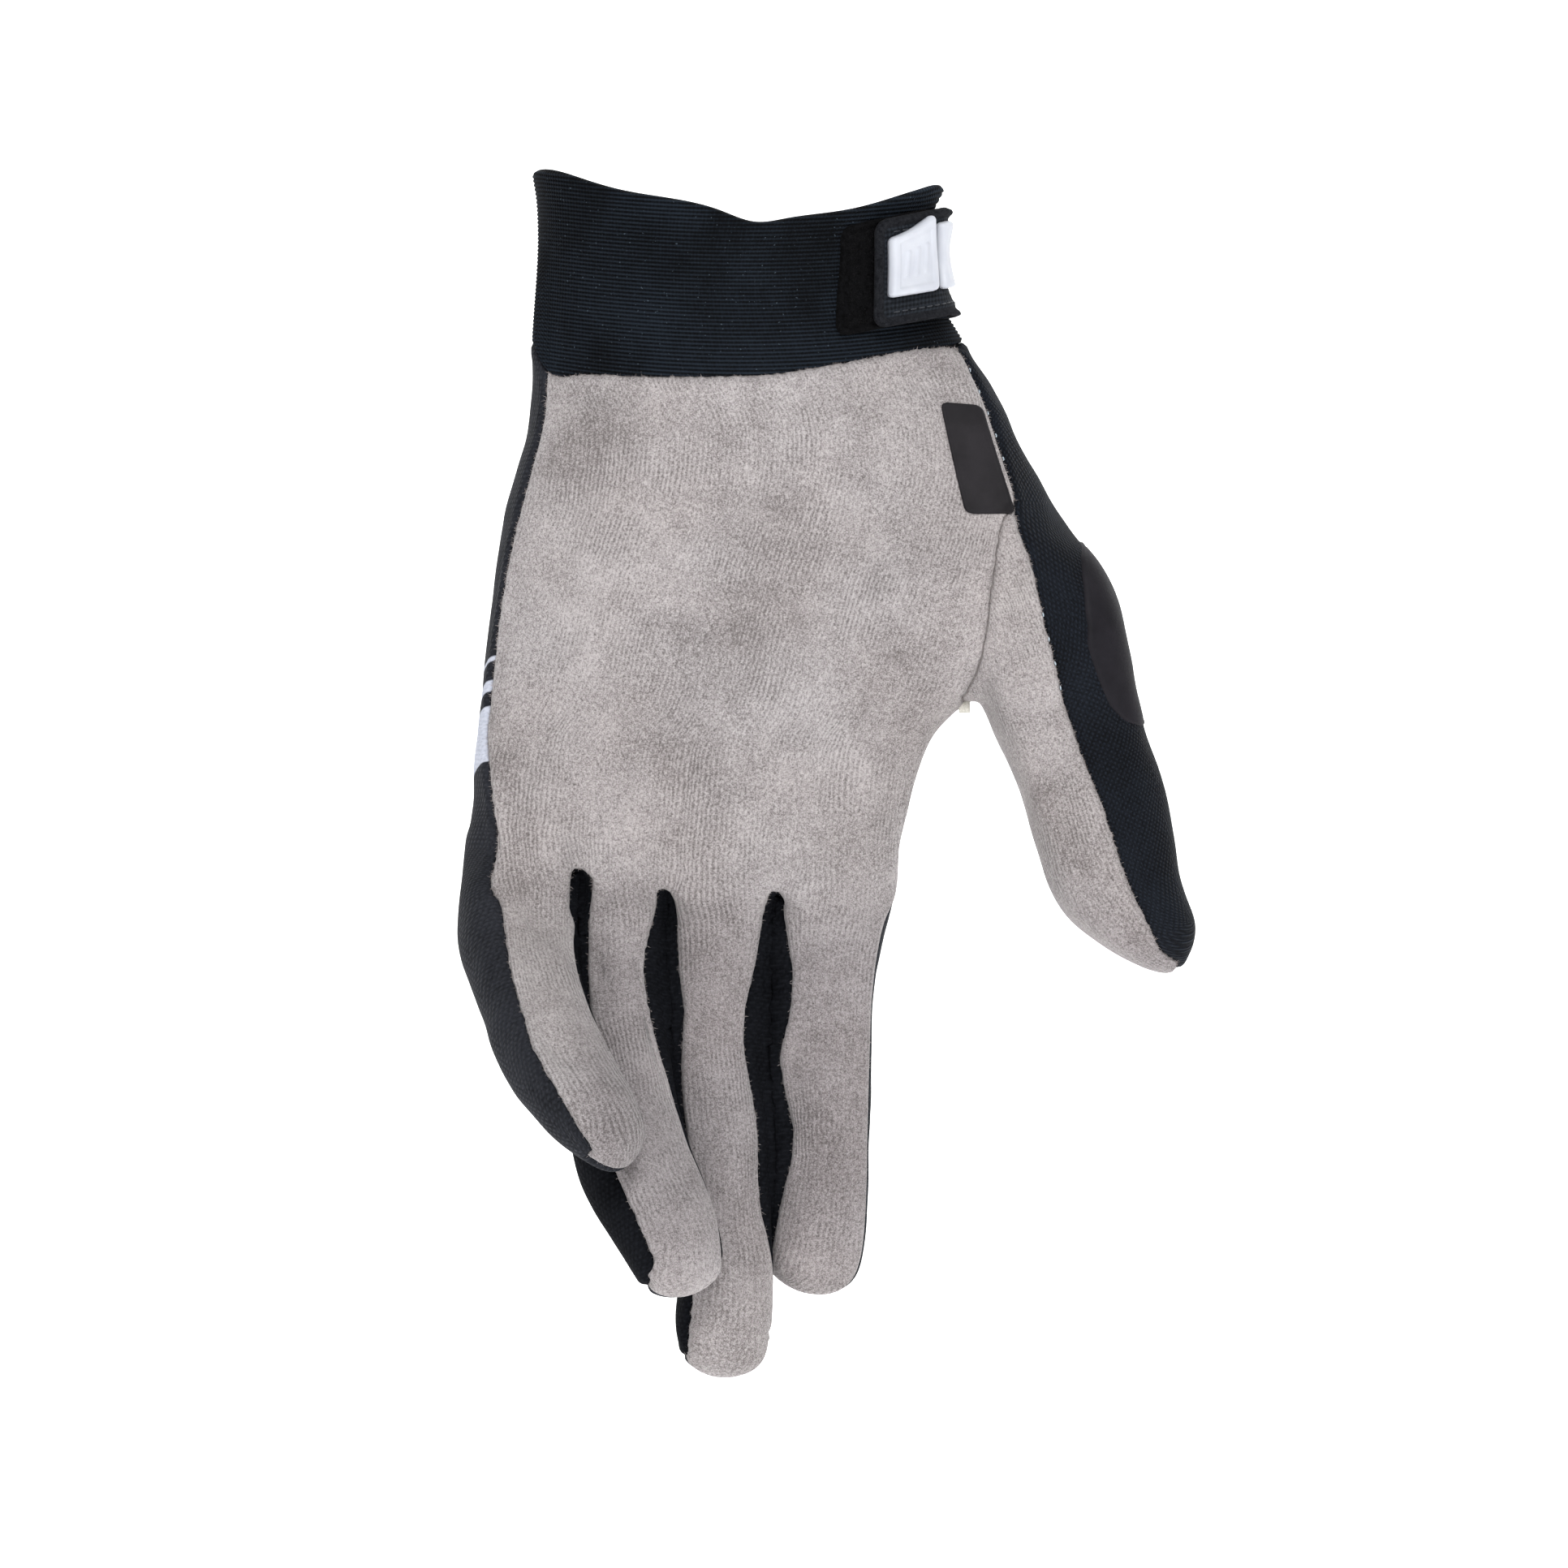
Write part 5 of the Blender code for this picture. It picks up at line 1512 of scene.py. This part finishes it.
def add_stitches(name, lines, pitch, length, radius, look, sides=6):
    """Stitches along lines of places: short rounded bars that dip at both ends."""
    profile = ((0.0, 0.15, -1.0), (0.12, 0.8, -0.15), (0.5, 1.0, 0.35), (0.88, 0.8, -0.15),
               (1.0, 0.15, -1.0))
    points = []
    faces = []
    for line, normals in lines:
        steps = numpy.linalg.norm(numpy.diff(line, axis=0), axis=1)
        travel = numpy.concatenate(([0], numpy.cumsum(steps)))

        def at(values, spot):
            return numpy.array([numpy.interp(spot, travel, values[:, axis]) for axis in range(3)])

        for number in range(int(travel[-1] / pitch)):
            start = (number + 0.5) * pitch - length / 2
            base = len(points)
            for share, thick, height in profile:
                spot = start + share * length
                up = at(normals, spot)
                up /= numpy.linalg.norm(up)
                ahead = at(line, spot + 1e-4) - at(line, spot - 1e-4)
                ahead /= max(numpy.linalg.norm(ahead), 1e-9)
                side = numpy.cross(up, ahead)
                centre = at(line, spot) + up * radius * height
                for corner in range(sides):
                    angle = 2 * math.pi * corner / sides
                    points.append(tuple(centre + (side * math.cos(angle) + up * math.sin(angle))
                                        * radius * thick))
            for low in range(base, len(points) - sides, sides):
                faces += [(low + corner, low + (corner + 1) % sides,
                           low + sides + (corner + 1) % sides, low + sides + corner)
                          for corner in range(sides)]
            faces.append(tuple(range(base, base + sides))[::-1])
            faces.append(tuple(range(len(points) - sides, len(points))))
    return new_piece(name, points, faces, look)


def add_closure(tree, looks):
    wrap = CuffWrap(tree)
    strap_lift = SEAT_GAP + PATCH_WALL + SEAT_GAP
    badge_lift = strap_lift + STRAP_WALL

    length = PATCH_START - PATCH_END
    grid = rectangle_grid(length, PATCH_HEIGHT, CORNER_RADIUS, 56, 44)
    places, outward = wrapped_places(wrap, wrap.start(PATCH_X), PATCH_HEIGHT, grid)
    flat = places.reshape(-1, 3)
    rough = (rolling(flat, 0.0009, 21) * 0.00016 + rolling(flat, 0.0022, 22) * 0.0001)
    high = 0.0001 + PATCH_WALL * 0.9 * rounded(grid[:, :, 2], 0.0010)
    high -= 0.00045 * bell(grid[:, :, 2], 0.0014, 0.00035)
    high += rough.reshape(high.shape) * (grid[:, :, 2] > 0.0019)
    low = numpy.full(high.shape, -0.0002)
    add_slab("loop_pile", places, outward, low, high, grid, looks["pile"],
             ("loop_patch",))
    picked = RANDOM.integers(0, flat.shape[0], 5200)
    keep = picked[grid[:, :, 2].ravel()[picked] > 0.0017]
    roots = (places + outward * high[:, :, None]).reshape(-1, 3)[keep]
    roots += RANDOM.normal(size=roots.shape) * 0.00025
    ways = outward.reshape(-1, 3)[keep] + RANDOM.normal(size=roots.shape) * 0.75
    add_fibres("loop_fuzz", roots, ways, RANDOM.uniform(0.0003, 0.0008, len(roots)),
               RANDOM.uniform(0.00003, 0.00007, len(roots)), looks["pile_fuzz"])

    length = STRAP_REACH + STRAP_TAIL
    grid = rectangle_grid(length, STRAP_HEIGHT, CORNER_RADIUS, 110, 44)
    places, outward = wrapped_places(wrap, wrap.start(STRAP_X), STRAP_HEIGHT, grid)
    inside = grid[:, :, 2]
    high = strap_lift + STRAP_WALL * (0.25 + 0.60 * rounded(inside, 0.0007))
    high += 0.00030 * bell(inside, 0.0008, 0.0005)
    high -= 0.00022 * bell(inside, 0.0017, 0.0003)
    ribs = numpy.abs(numpy.sin(grid[:, :, 1] * math.pi / 0.0011)) * 0.00010
    high += ribs * (inside > 0.0020)
    start = grid[:, :, 0]
    settle = numpy.clip((start - STRAP_REACH - 0.012) / 0.02, 0, 1)
    high -= settle * (strap_lift - 0.0003)
    low = strap_lift * (1 - settle) * numpy.ones(high.shape)
    strap = add_slab("strap_band", places, outward, low, high, grid, looks["webbing"],
                     ("closure_strap",))
    strap.data.materials.append(looks["binding"])
    near = (inside[:-1, :-1] + inside[1:, :-1] + inside[:-1, 1:] + inside[1:, 1:]) / 4 < 0.00165
    bound = numpy.ones(len(strap.data.polygons), dtype=int)
    bound[:2 * near.size:2] = near.ravel()
    bound[1:2 * near.size:2] = 0
    strap.data.polygons.foreach_set("material_index", bound.tolist())
    tops = places + outward * (high + 0.00002)[:, :, None]
    add_stitches("strap_stitches", [(tops[row, 8:-8], outward[row, 8:-8]) for row in (7, -8)],
                 0.0021, 0.0017, 0.00016, looks["dark_thread"])

    def badge(name, begin, end, node, plain):
        size = end - begin
        radius = 0.0010
        tall = BADGE_HEIGHT * 0.74
        cells = rectangle_grid(size, tall, radius, 20 if plain else 46, 48)
        flared = cells.copy()
        rise = BADGE_FLARE * (0.35 if plain else (cells[:, :, 0] / size) ** 1.6)
        flared[:, :, 1] -= rise * (1 - cells[:, :, 1] / tall) + BADGE_RAISE
        spots, away = wrapped_places(wrap, begin, tall, flared)
        depth = cells[:, :, 2]
        top = BADGE_WALL * 0.35 + BADGE_WALL * 0.85 * rounded(depth, 0.0008)
        if not plain:
            top -= 0.00030 * numpy.clip((depth - 0.0014) / 0.0003, 0, 1)
            along = cells[:, :, 0] / size
            for middle in (0.30, 0.50, 0.70):
                slant = along + (cells[:, :, 1] / tall - 0.5) * 0.14
                ridge = bell(slant, middle, 0.040) * (cells[:, :, 1] > 0.0036)
                top += 0.00030 * ridge * (cells[:, :, 1] < tall - 0.0036)
        add_slab(name, spots, away, numpy.full(top.shape, badge_lift - 0.0003),
                 badge_lift + top, cells, looks["rubber"], (node,))

    begin = wrap.start(BADGE_X)
    bar_start = begin + PLATE_LENGTH + BADGE_BAR_GAP
    badge("badge_plate", begin, begin + PLATE_LENGTH, "strap_badge", False)
    badge("badge_bar", bar_start, bar_start + BADGE_BAR_WIDTH, "strap_badge_bar", True)


def seen(across, down, depth=-0.019):
    """The place that shows at a pixel of the photograph, at a depth."""
    scale = PIXEL * (1 + depth / CAMERA_DISTANCE)
    return ((across - PHOTO_SIDE / 2) * scale + CAMERA_X, depth,
            CAMERA_Z - (down - PHOTO_SIDE / 2) * scale)


def shown(place):
    """The pixel of the photograph where a place shows."""
    scale = PIXEL * (1 + place[1] / CAMERA_DISTANCE)
    return ((place[0] - CAMERA_X) / scale + PHOTO_SIDE / 2,
            (CAMERA_Z - place[2]) / scale + PHOTO_SIDE / 2)


def add_label(tree, looks):
    grid = rectangle_grid(LABEL_WIDTH, LABEL_HEIGHT, LABEL_CORNER, 34, 60)
    places = numpy.zeros(grid.shape)
    for row in range(grid.shape[0]):
        down = grid[row, 0, 1] / LABEL_HEIGHT
        left = numpy.array(LABEL_CORNERS[0]) * (1 - down) + numpy.array(LABEL_CORNERS[3]) * down
        right = numpy.array(LABEL_CORNERS[1]) * (1 - down) + numpy.array(LABEL_CORNERS[2]) * down
        for column in range(grid.shape[1]):
            pixel = lerp(left, right, grid[row, column, 0] / LABEL_WIDTH)
            place = seen(pixel[0], pixel[1] + 3 * math.sin(math.pi * down))
            start = Vector((place[0], -PALM_DEPTH, place[2]))
            places[row, column] = tree.ray_cast(start, Vector((0, 1, 0)))[0]
    outward = numpy.zeros(grid.shape)
    outward[:, :, 1] = -1
    inside = grid[:, :, 2]
    high = 0.0003 + LABEL_WALL * 0.75 * rounded(inside, 0.0004)
    high -= 0.00007 * bell(inside, 0.0009, 0.00015)
    add_slab("label_patch", places, outward, numpy.full(high.shape, -0.0003), high, grid,
             looks["label"], ("palm_label",))


def add_overlay(tree, looks):
    root, along, splay = thumb_frame()
    outwards = Vector((math.cos(splay), 0, math.sin(splay)))
    turn = math.radians(OVERLAY_TURN)
    breadth = turn * THUMB_WIDTH
    grid = rectangle_grid(breadth, OVERLAY_LENGTH, CORNER_RADIUS, 44, 64)
    places = numpy.zeros(grid.shape)
    outward = numpy.zeros(grid.shape)

    def cast(down, angle):
        centre = root + along * (down - OVERLAY_START * OVERLAY_LENGTH)
        direction = outwards * math.cos(angle) + Vector((0, -math.sin(angle), 0))
        return tree.ray_cast(centre, direction)[0], direction

    def front_angle(down):
        for degrees in range(88, 0, -1):
            angle = math.radians(degrees)
            across, level = shown(cast(down, angle)[0])
            if across >= numpy.interp(level, OVERLAY_EDGE[1], OVERLAY_EDGE[0]):
                return angle
        return 0.0

    downs = numpy.linspace(0, OVERLAY_LENGTH, 13)
    fronts = [front_angle(down) for down in downs]
    for row in range(grid.shape[0]):
        front = float(numpy.interp(grid[row, 0, 1], downs, fronts))
        for column in range(grid.shape[1]):
            angle = lerp(front, -turn, grid[row, column, 0] / breadth)
            places[row, column], outward[row, column] = cast(grid[row, column, 1], angle)
    inside = grid[:, :, 2]
    high = 0.00035 * rounded(inside, 0.0005) + 0.00005
    high -= 0.00008 * bell(inside, 0.0013, 0.0002)
    add_slab("overlay_patch", places, outward, numpy.full(high.shape, -0.0003), high, grid,
             looks["overlay"], ("thumb_overlay",))


# ---- seams, fibres, tag

# Fibres to a metre of seam on the palm and the thumb, and the fewer ones on the fingers
PALM_FIBRES = 9000
FINGER_FIBRES = 2500
FINGER_LEVEL = -0.137
THUMB_SIDE = 0.03
# The tag at the thumb's crotch
TAG_LENGTH = 0.0030
TAG_WIDTH = 0.0022
TAG_WALL = 0.00044


def edge_fibres(skin, looks, panel_names):
    """Loose suede fibres that reach over the seam onto the darker cloth."""
    roots = []
    ways = []
    for name in ("palm_panel", "thumb_palm_panel"):
        number = panel_names.index(name)
        faces = skin.faces[skin.panels == number]
        for here, after in panel_edges(faces):
            low = skin.places[here]
            high = skin.places[after]
            edge = high - low
            out = numpy.cross(edge, skin.normals[here])
            size = numpy.linalg.norm(out)
            if size < 1e-9:
                continue
            out /= size
            thick = low[2] > FINGER_LEVEL or low[0] > THUMB_SIDE
            density = PALM_FIBRES if thick else FINGER_FIBRES
            count = RANDOM.poisson(numpy.linalg.norm(edge) * density)
            for _ in range(count):
                share = RANDOM.random()
                roots.append(low + edge * share + skin.normals[here] * 0.00015 - out * 0.0002)
                ways.append(out + skin.normals[here] * RANDOM.uniform(0.1, 0.9)
                            + RANDOM.normal(size=3) * 0.45)
    roots = numpy.array(roots)
    add_fibres("seam_fuzz", roots, numpy.array(ways),
               RANDOM.uniform(0.0002, 0.0006, len(roots)),
               RANDOM.uniform(0.00004, 0.00010, len(roots)), looks["suede_fuzz"])


def add_seam_bits(skin, looks, panel_names):
    """Pale ends of the sewing thread that show here and there along the thumb's mesh."""
    mesh = on_panels(skin, panel_names, "thumb_back_panel")
    suede = on_panels(skin, panel_names, "palm_panel", "thumb_palm_panel")
    seam = numpy.nonzero(seam_mask(skin) & mesh & suede & (skin.normals[:, 1] < 0.4))[0]
    pixels = numpy.array([shown(skin.places[number]) for number in seam])
    lines = []
    for low, high in SEAM_BITS:
        inside = (pixels[:, 1] > low) & (pixels[:, 1] < high) & (pixels[:, 0] > 1150)
        chosen = seam[inside][numpy.argsort(pixels[inside, 1])]
        lines.append((skin.places[chosen] + skin.normals[chosen] * 0.00035, skin.normals[chosen]))
    add_stitches("seam_thread_ends", lines, 0.0050, 0.0009, 0.00015, looks["pale_thread"])


def add_tag(skin, looks):
    """The small off-white loop in the seam at the thumb's crotch."""
    centre = numpy.array(seen(1188, 860, -0.006))
    near = numpy.linalg.norm(skin.places - centre, axis=1).argmin()
    base = skin.places[near] - skin.normals[near] * 0.0004
    ahead = numpy.array((0.0, -0.25, -1.0))
    ahead /= numpy.linalg.norm(ahead)
    side = numpy.array((1.0, 0.0, 0.0))
    thick = numpy.cross(ahead, side)
    along, across = numpy.meshgrid(numpy.linspace(0, 1, 7), numpy.linspace(-0.5, 0.5, 5),
                                   indexing="ij")
    along, across = along[:, :, None], across[:, :, None]
    places = (base + ahead * along * TAG_LENGTH + side * across * TAG_WIDTH
              + thick * 0.0004 * numpy.sin(along * 2.6))
    half = numpy.full(places.shape[:2], TAG_WALL / 2)
    add_slab("crotch_tag", places, numpy.broadcast_to(thick, places.shape), -half, half, places,
             looks["tag"])


# ---- stage, light and camera

SENSOR = 36.0
FLOOR_LEVEL = -0.262


def add_stage():
    look = Look("studio_paper")
    look.shader.inputs["Emission Color"].default_value = (1, 1, 1, 1)
    look.shader.inputs["Emission Strength"].default_value = 0.75
    profile = [(-2.5, FLOOR_LEVEL)]
    for step in range(13):
        angle = math.radians(90 * step / 12)
        profile.append((0.9 + 0.6 * math.sin(angle), FLOOR_LEVEL + 0.6 * (1 - math.cos(angle))))
    profile.append((1.5, 3.0))
    points = []
    for y, z in profile:
        points += [(-3.0, y, z), (3.0, y, z)]
    faces = [(2 * number, 2 * number + 1, 2 * number + 3, 2 * number + 2)
             for number in range(len(profile) - 1)]
    mesh = bpy.data.meshes.new("studio_sweep")
    mesh.from_pydata(points, [], faces)
    mesh.shade_smooth()
    mesh.materials.append(look.finish((0.93, 0.93, 0.93, 1), (0.9,)))
    sweep = bpy.data.objects.new("studio_sweep", mesh)
    bpy.context.scene.collection.objects.link(sweep)


def add_light(name, place, aim, size, power):
    data = bpy.data.lights.new(name, "AREA")
    data.shape = "RECTANGLE"
    data.size = size[0]
    data.size_y = size[1]
    data.energy = power
    lamp = bpy.data.objects.new(name, data)
    lamp.location = place
    lamp.rotation_euler = (Vector(aim) - Vector(place)).to_track_quat("-Z", "Y").to_euler()
    bpy.context.scene.collection.objects.link(lamp)


def add_lights():
    world = bpy.data.worlds.new("studio_air")
    world.use_nodes = True
    world.node_tree.nodes["Background"].inputs["Color"].default_value = (1, 1, 1, 1)
    world.node_tree.nodes["Background"].inputs["Strength"].default_value = 0.40
    bpy.context.scene.world = world
    aim = (0.0, 0.0, -0.12)
    add_light("key_light", (0.20, -0.90, 0.85), aim, (0.45, 0.45), 10.6)
    add_light("fill_light", (-0.60, -1.10, -0.20), aim, (0.7, 0.7), 1.4)
    add_light("back_light", (0.0, 1.0, 0.9), aim, (1.2, 0.8), 6)


def set_tones():
    """Plain colour handling, as in a photograph of goods on white."""
    bpy.context.scene.view_settings.view_transform = "Standard"
    bpy.context.scene.view_settings.look = "None"


def add_camera():
    data = bpy.data.cameras.new("photo_camera")
    data.sensor_width = SENSOR
    data.sensor_fit = "HORIZONTAL"
    data.lens = SENSOR * CAMERA_DISTANCE / (PHOTO_SIDE * PIXEL)
    data.clip_start = 0.01
    data.clip_end = 20
    camera = bpy.data.objects.new("photo_camera", data)
    camera.location = (CAMERA_X, -CAMERA_DISTANCE, CAMERA_Z)
    camera.rotation_euler = (math.pi / 2, 0, 0)
    bpy.context.scene.collection.objects.link(camera)
    bpy.context.scene.camera = camera


def build_looks():
    return {
        "suede": suede_look(),
        "back": back_look(),
        "gusset": gusset_look(),
        "mesh": mesh_look(),
        "ribs": rib_look(),
        "pile": pile_look("loop_pile_black", (0.0003, 0.0003, 0.0004), (0.0050, 0.0050, 0.0058),
                          900.0, 0.0005),
        "pile_fuzz": fuzz_look("loop_fuzz_black", (0.001, 0.001, 0.001), (0.014, 0.013, 0.014)),
        "webbing": webbing_look(),
        "binding": pile_look("strap_binding", (0.004, 0.0045, 0.006), (0.022, 0.023, 0.027),
                             1300.0, 0.00025),
        "rubber": rubber_look(),
        "label": coated_look("label_face", (0.010, 0.0090, 0.0105), (0.020, 0.018, 0.021)),
        "overlay": coated_look("overlay_face", (0.006, 0.0055, 0.0078), (0.014, 0.0125, 0.0165)),
        "dark_thread": thread_look("dark_thread", (0.010, 0.012, 0.016), (0.040, 0.045, 0.055)),
        "pale_thread": thread_look("pale_thread", (0.25, 0.32, 0.38), (0.60, 0.68, 0.74)),
        "suede_fuzz": fuzz_look("suede_fibre", (0.24, 0.21, 0.20), (0.52, 0.47, 0.46)),
        "tag": fuzz_look("tag_cloth", (0.52, 0.50, 0.44), (0.72, 0.70, 0.64)),
    }


def build_scene():
    looks = build_looks()
    cage = build_cage()
    panel_names = sorted(set(cage.panels))
    points = fitted_points(cage, panel_names)
    plain = fine_skin(cage, points, panel_names, LEVELS)
    inner = fine_skin(cage, points, panel_names, INNER_LEVELS)
    skin = shaped_skin(slid_skin(plain, panel_names), panel_names)
    cloths = {"palm_panel": (SUEDE_WALL, "suede", "suede"),
              "thumb_palm_panel": (SUEDE_WALL, "suede", "suede"),
              "back_panel": (KNIT_WALL, "back", "stretch_knit"),
              "thumb_back_panel": (KNIT_WALL, "mesh", "mesh_knit")}
    for number, name in enumerate(panel_names):
        if name == "cuff":
            add_cuff(plain, number, looks["ribs"])
            continue
        wall, look, slot = cloths.get(name, (KNIT_WALL, "gusset", "stretch_knit"))
        add_panel(name, skin, inner, number, wall, looks[look], slot)
    tree = surface_of(skin)
    add_closure(tree, looks)
    add_label(tree, looks)
    add_overlay(tree, looks)
    edge_fibres(skin, looks, panel_names)
    add_seam_bits(skin, looks, panel_names)
    add_tag(skin, looks)


set_tones()
add_camera()
add_lights()
add_stage()
build_scene()
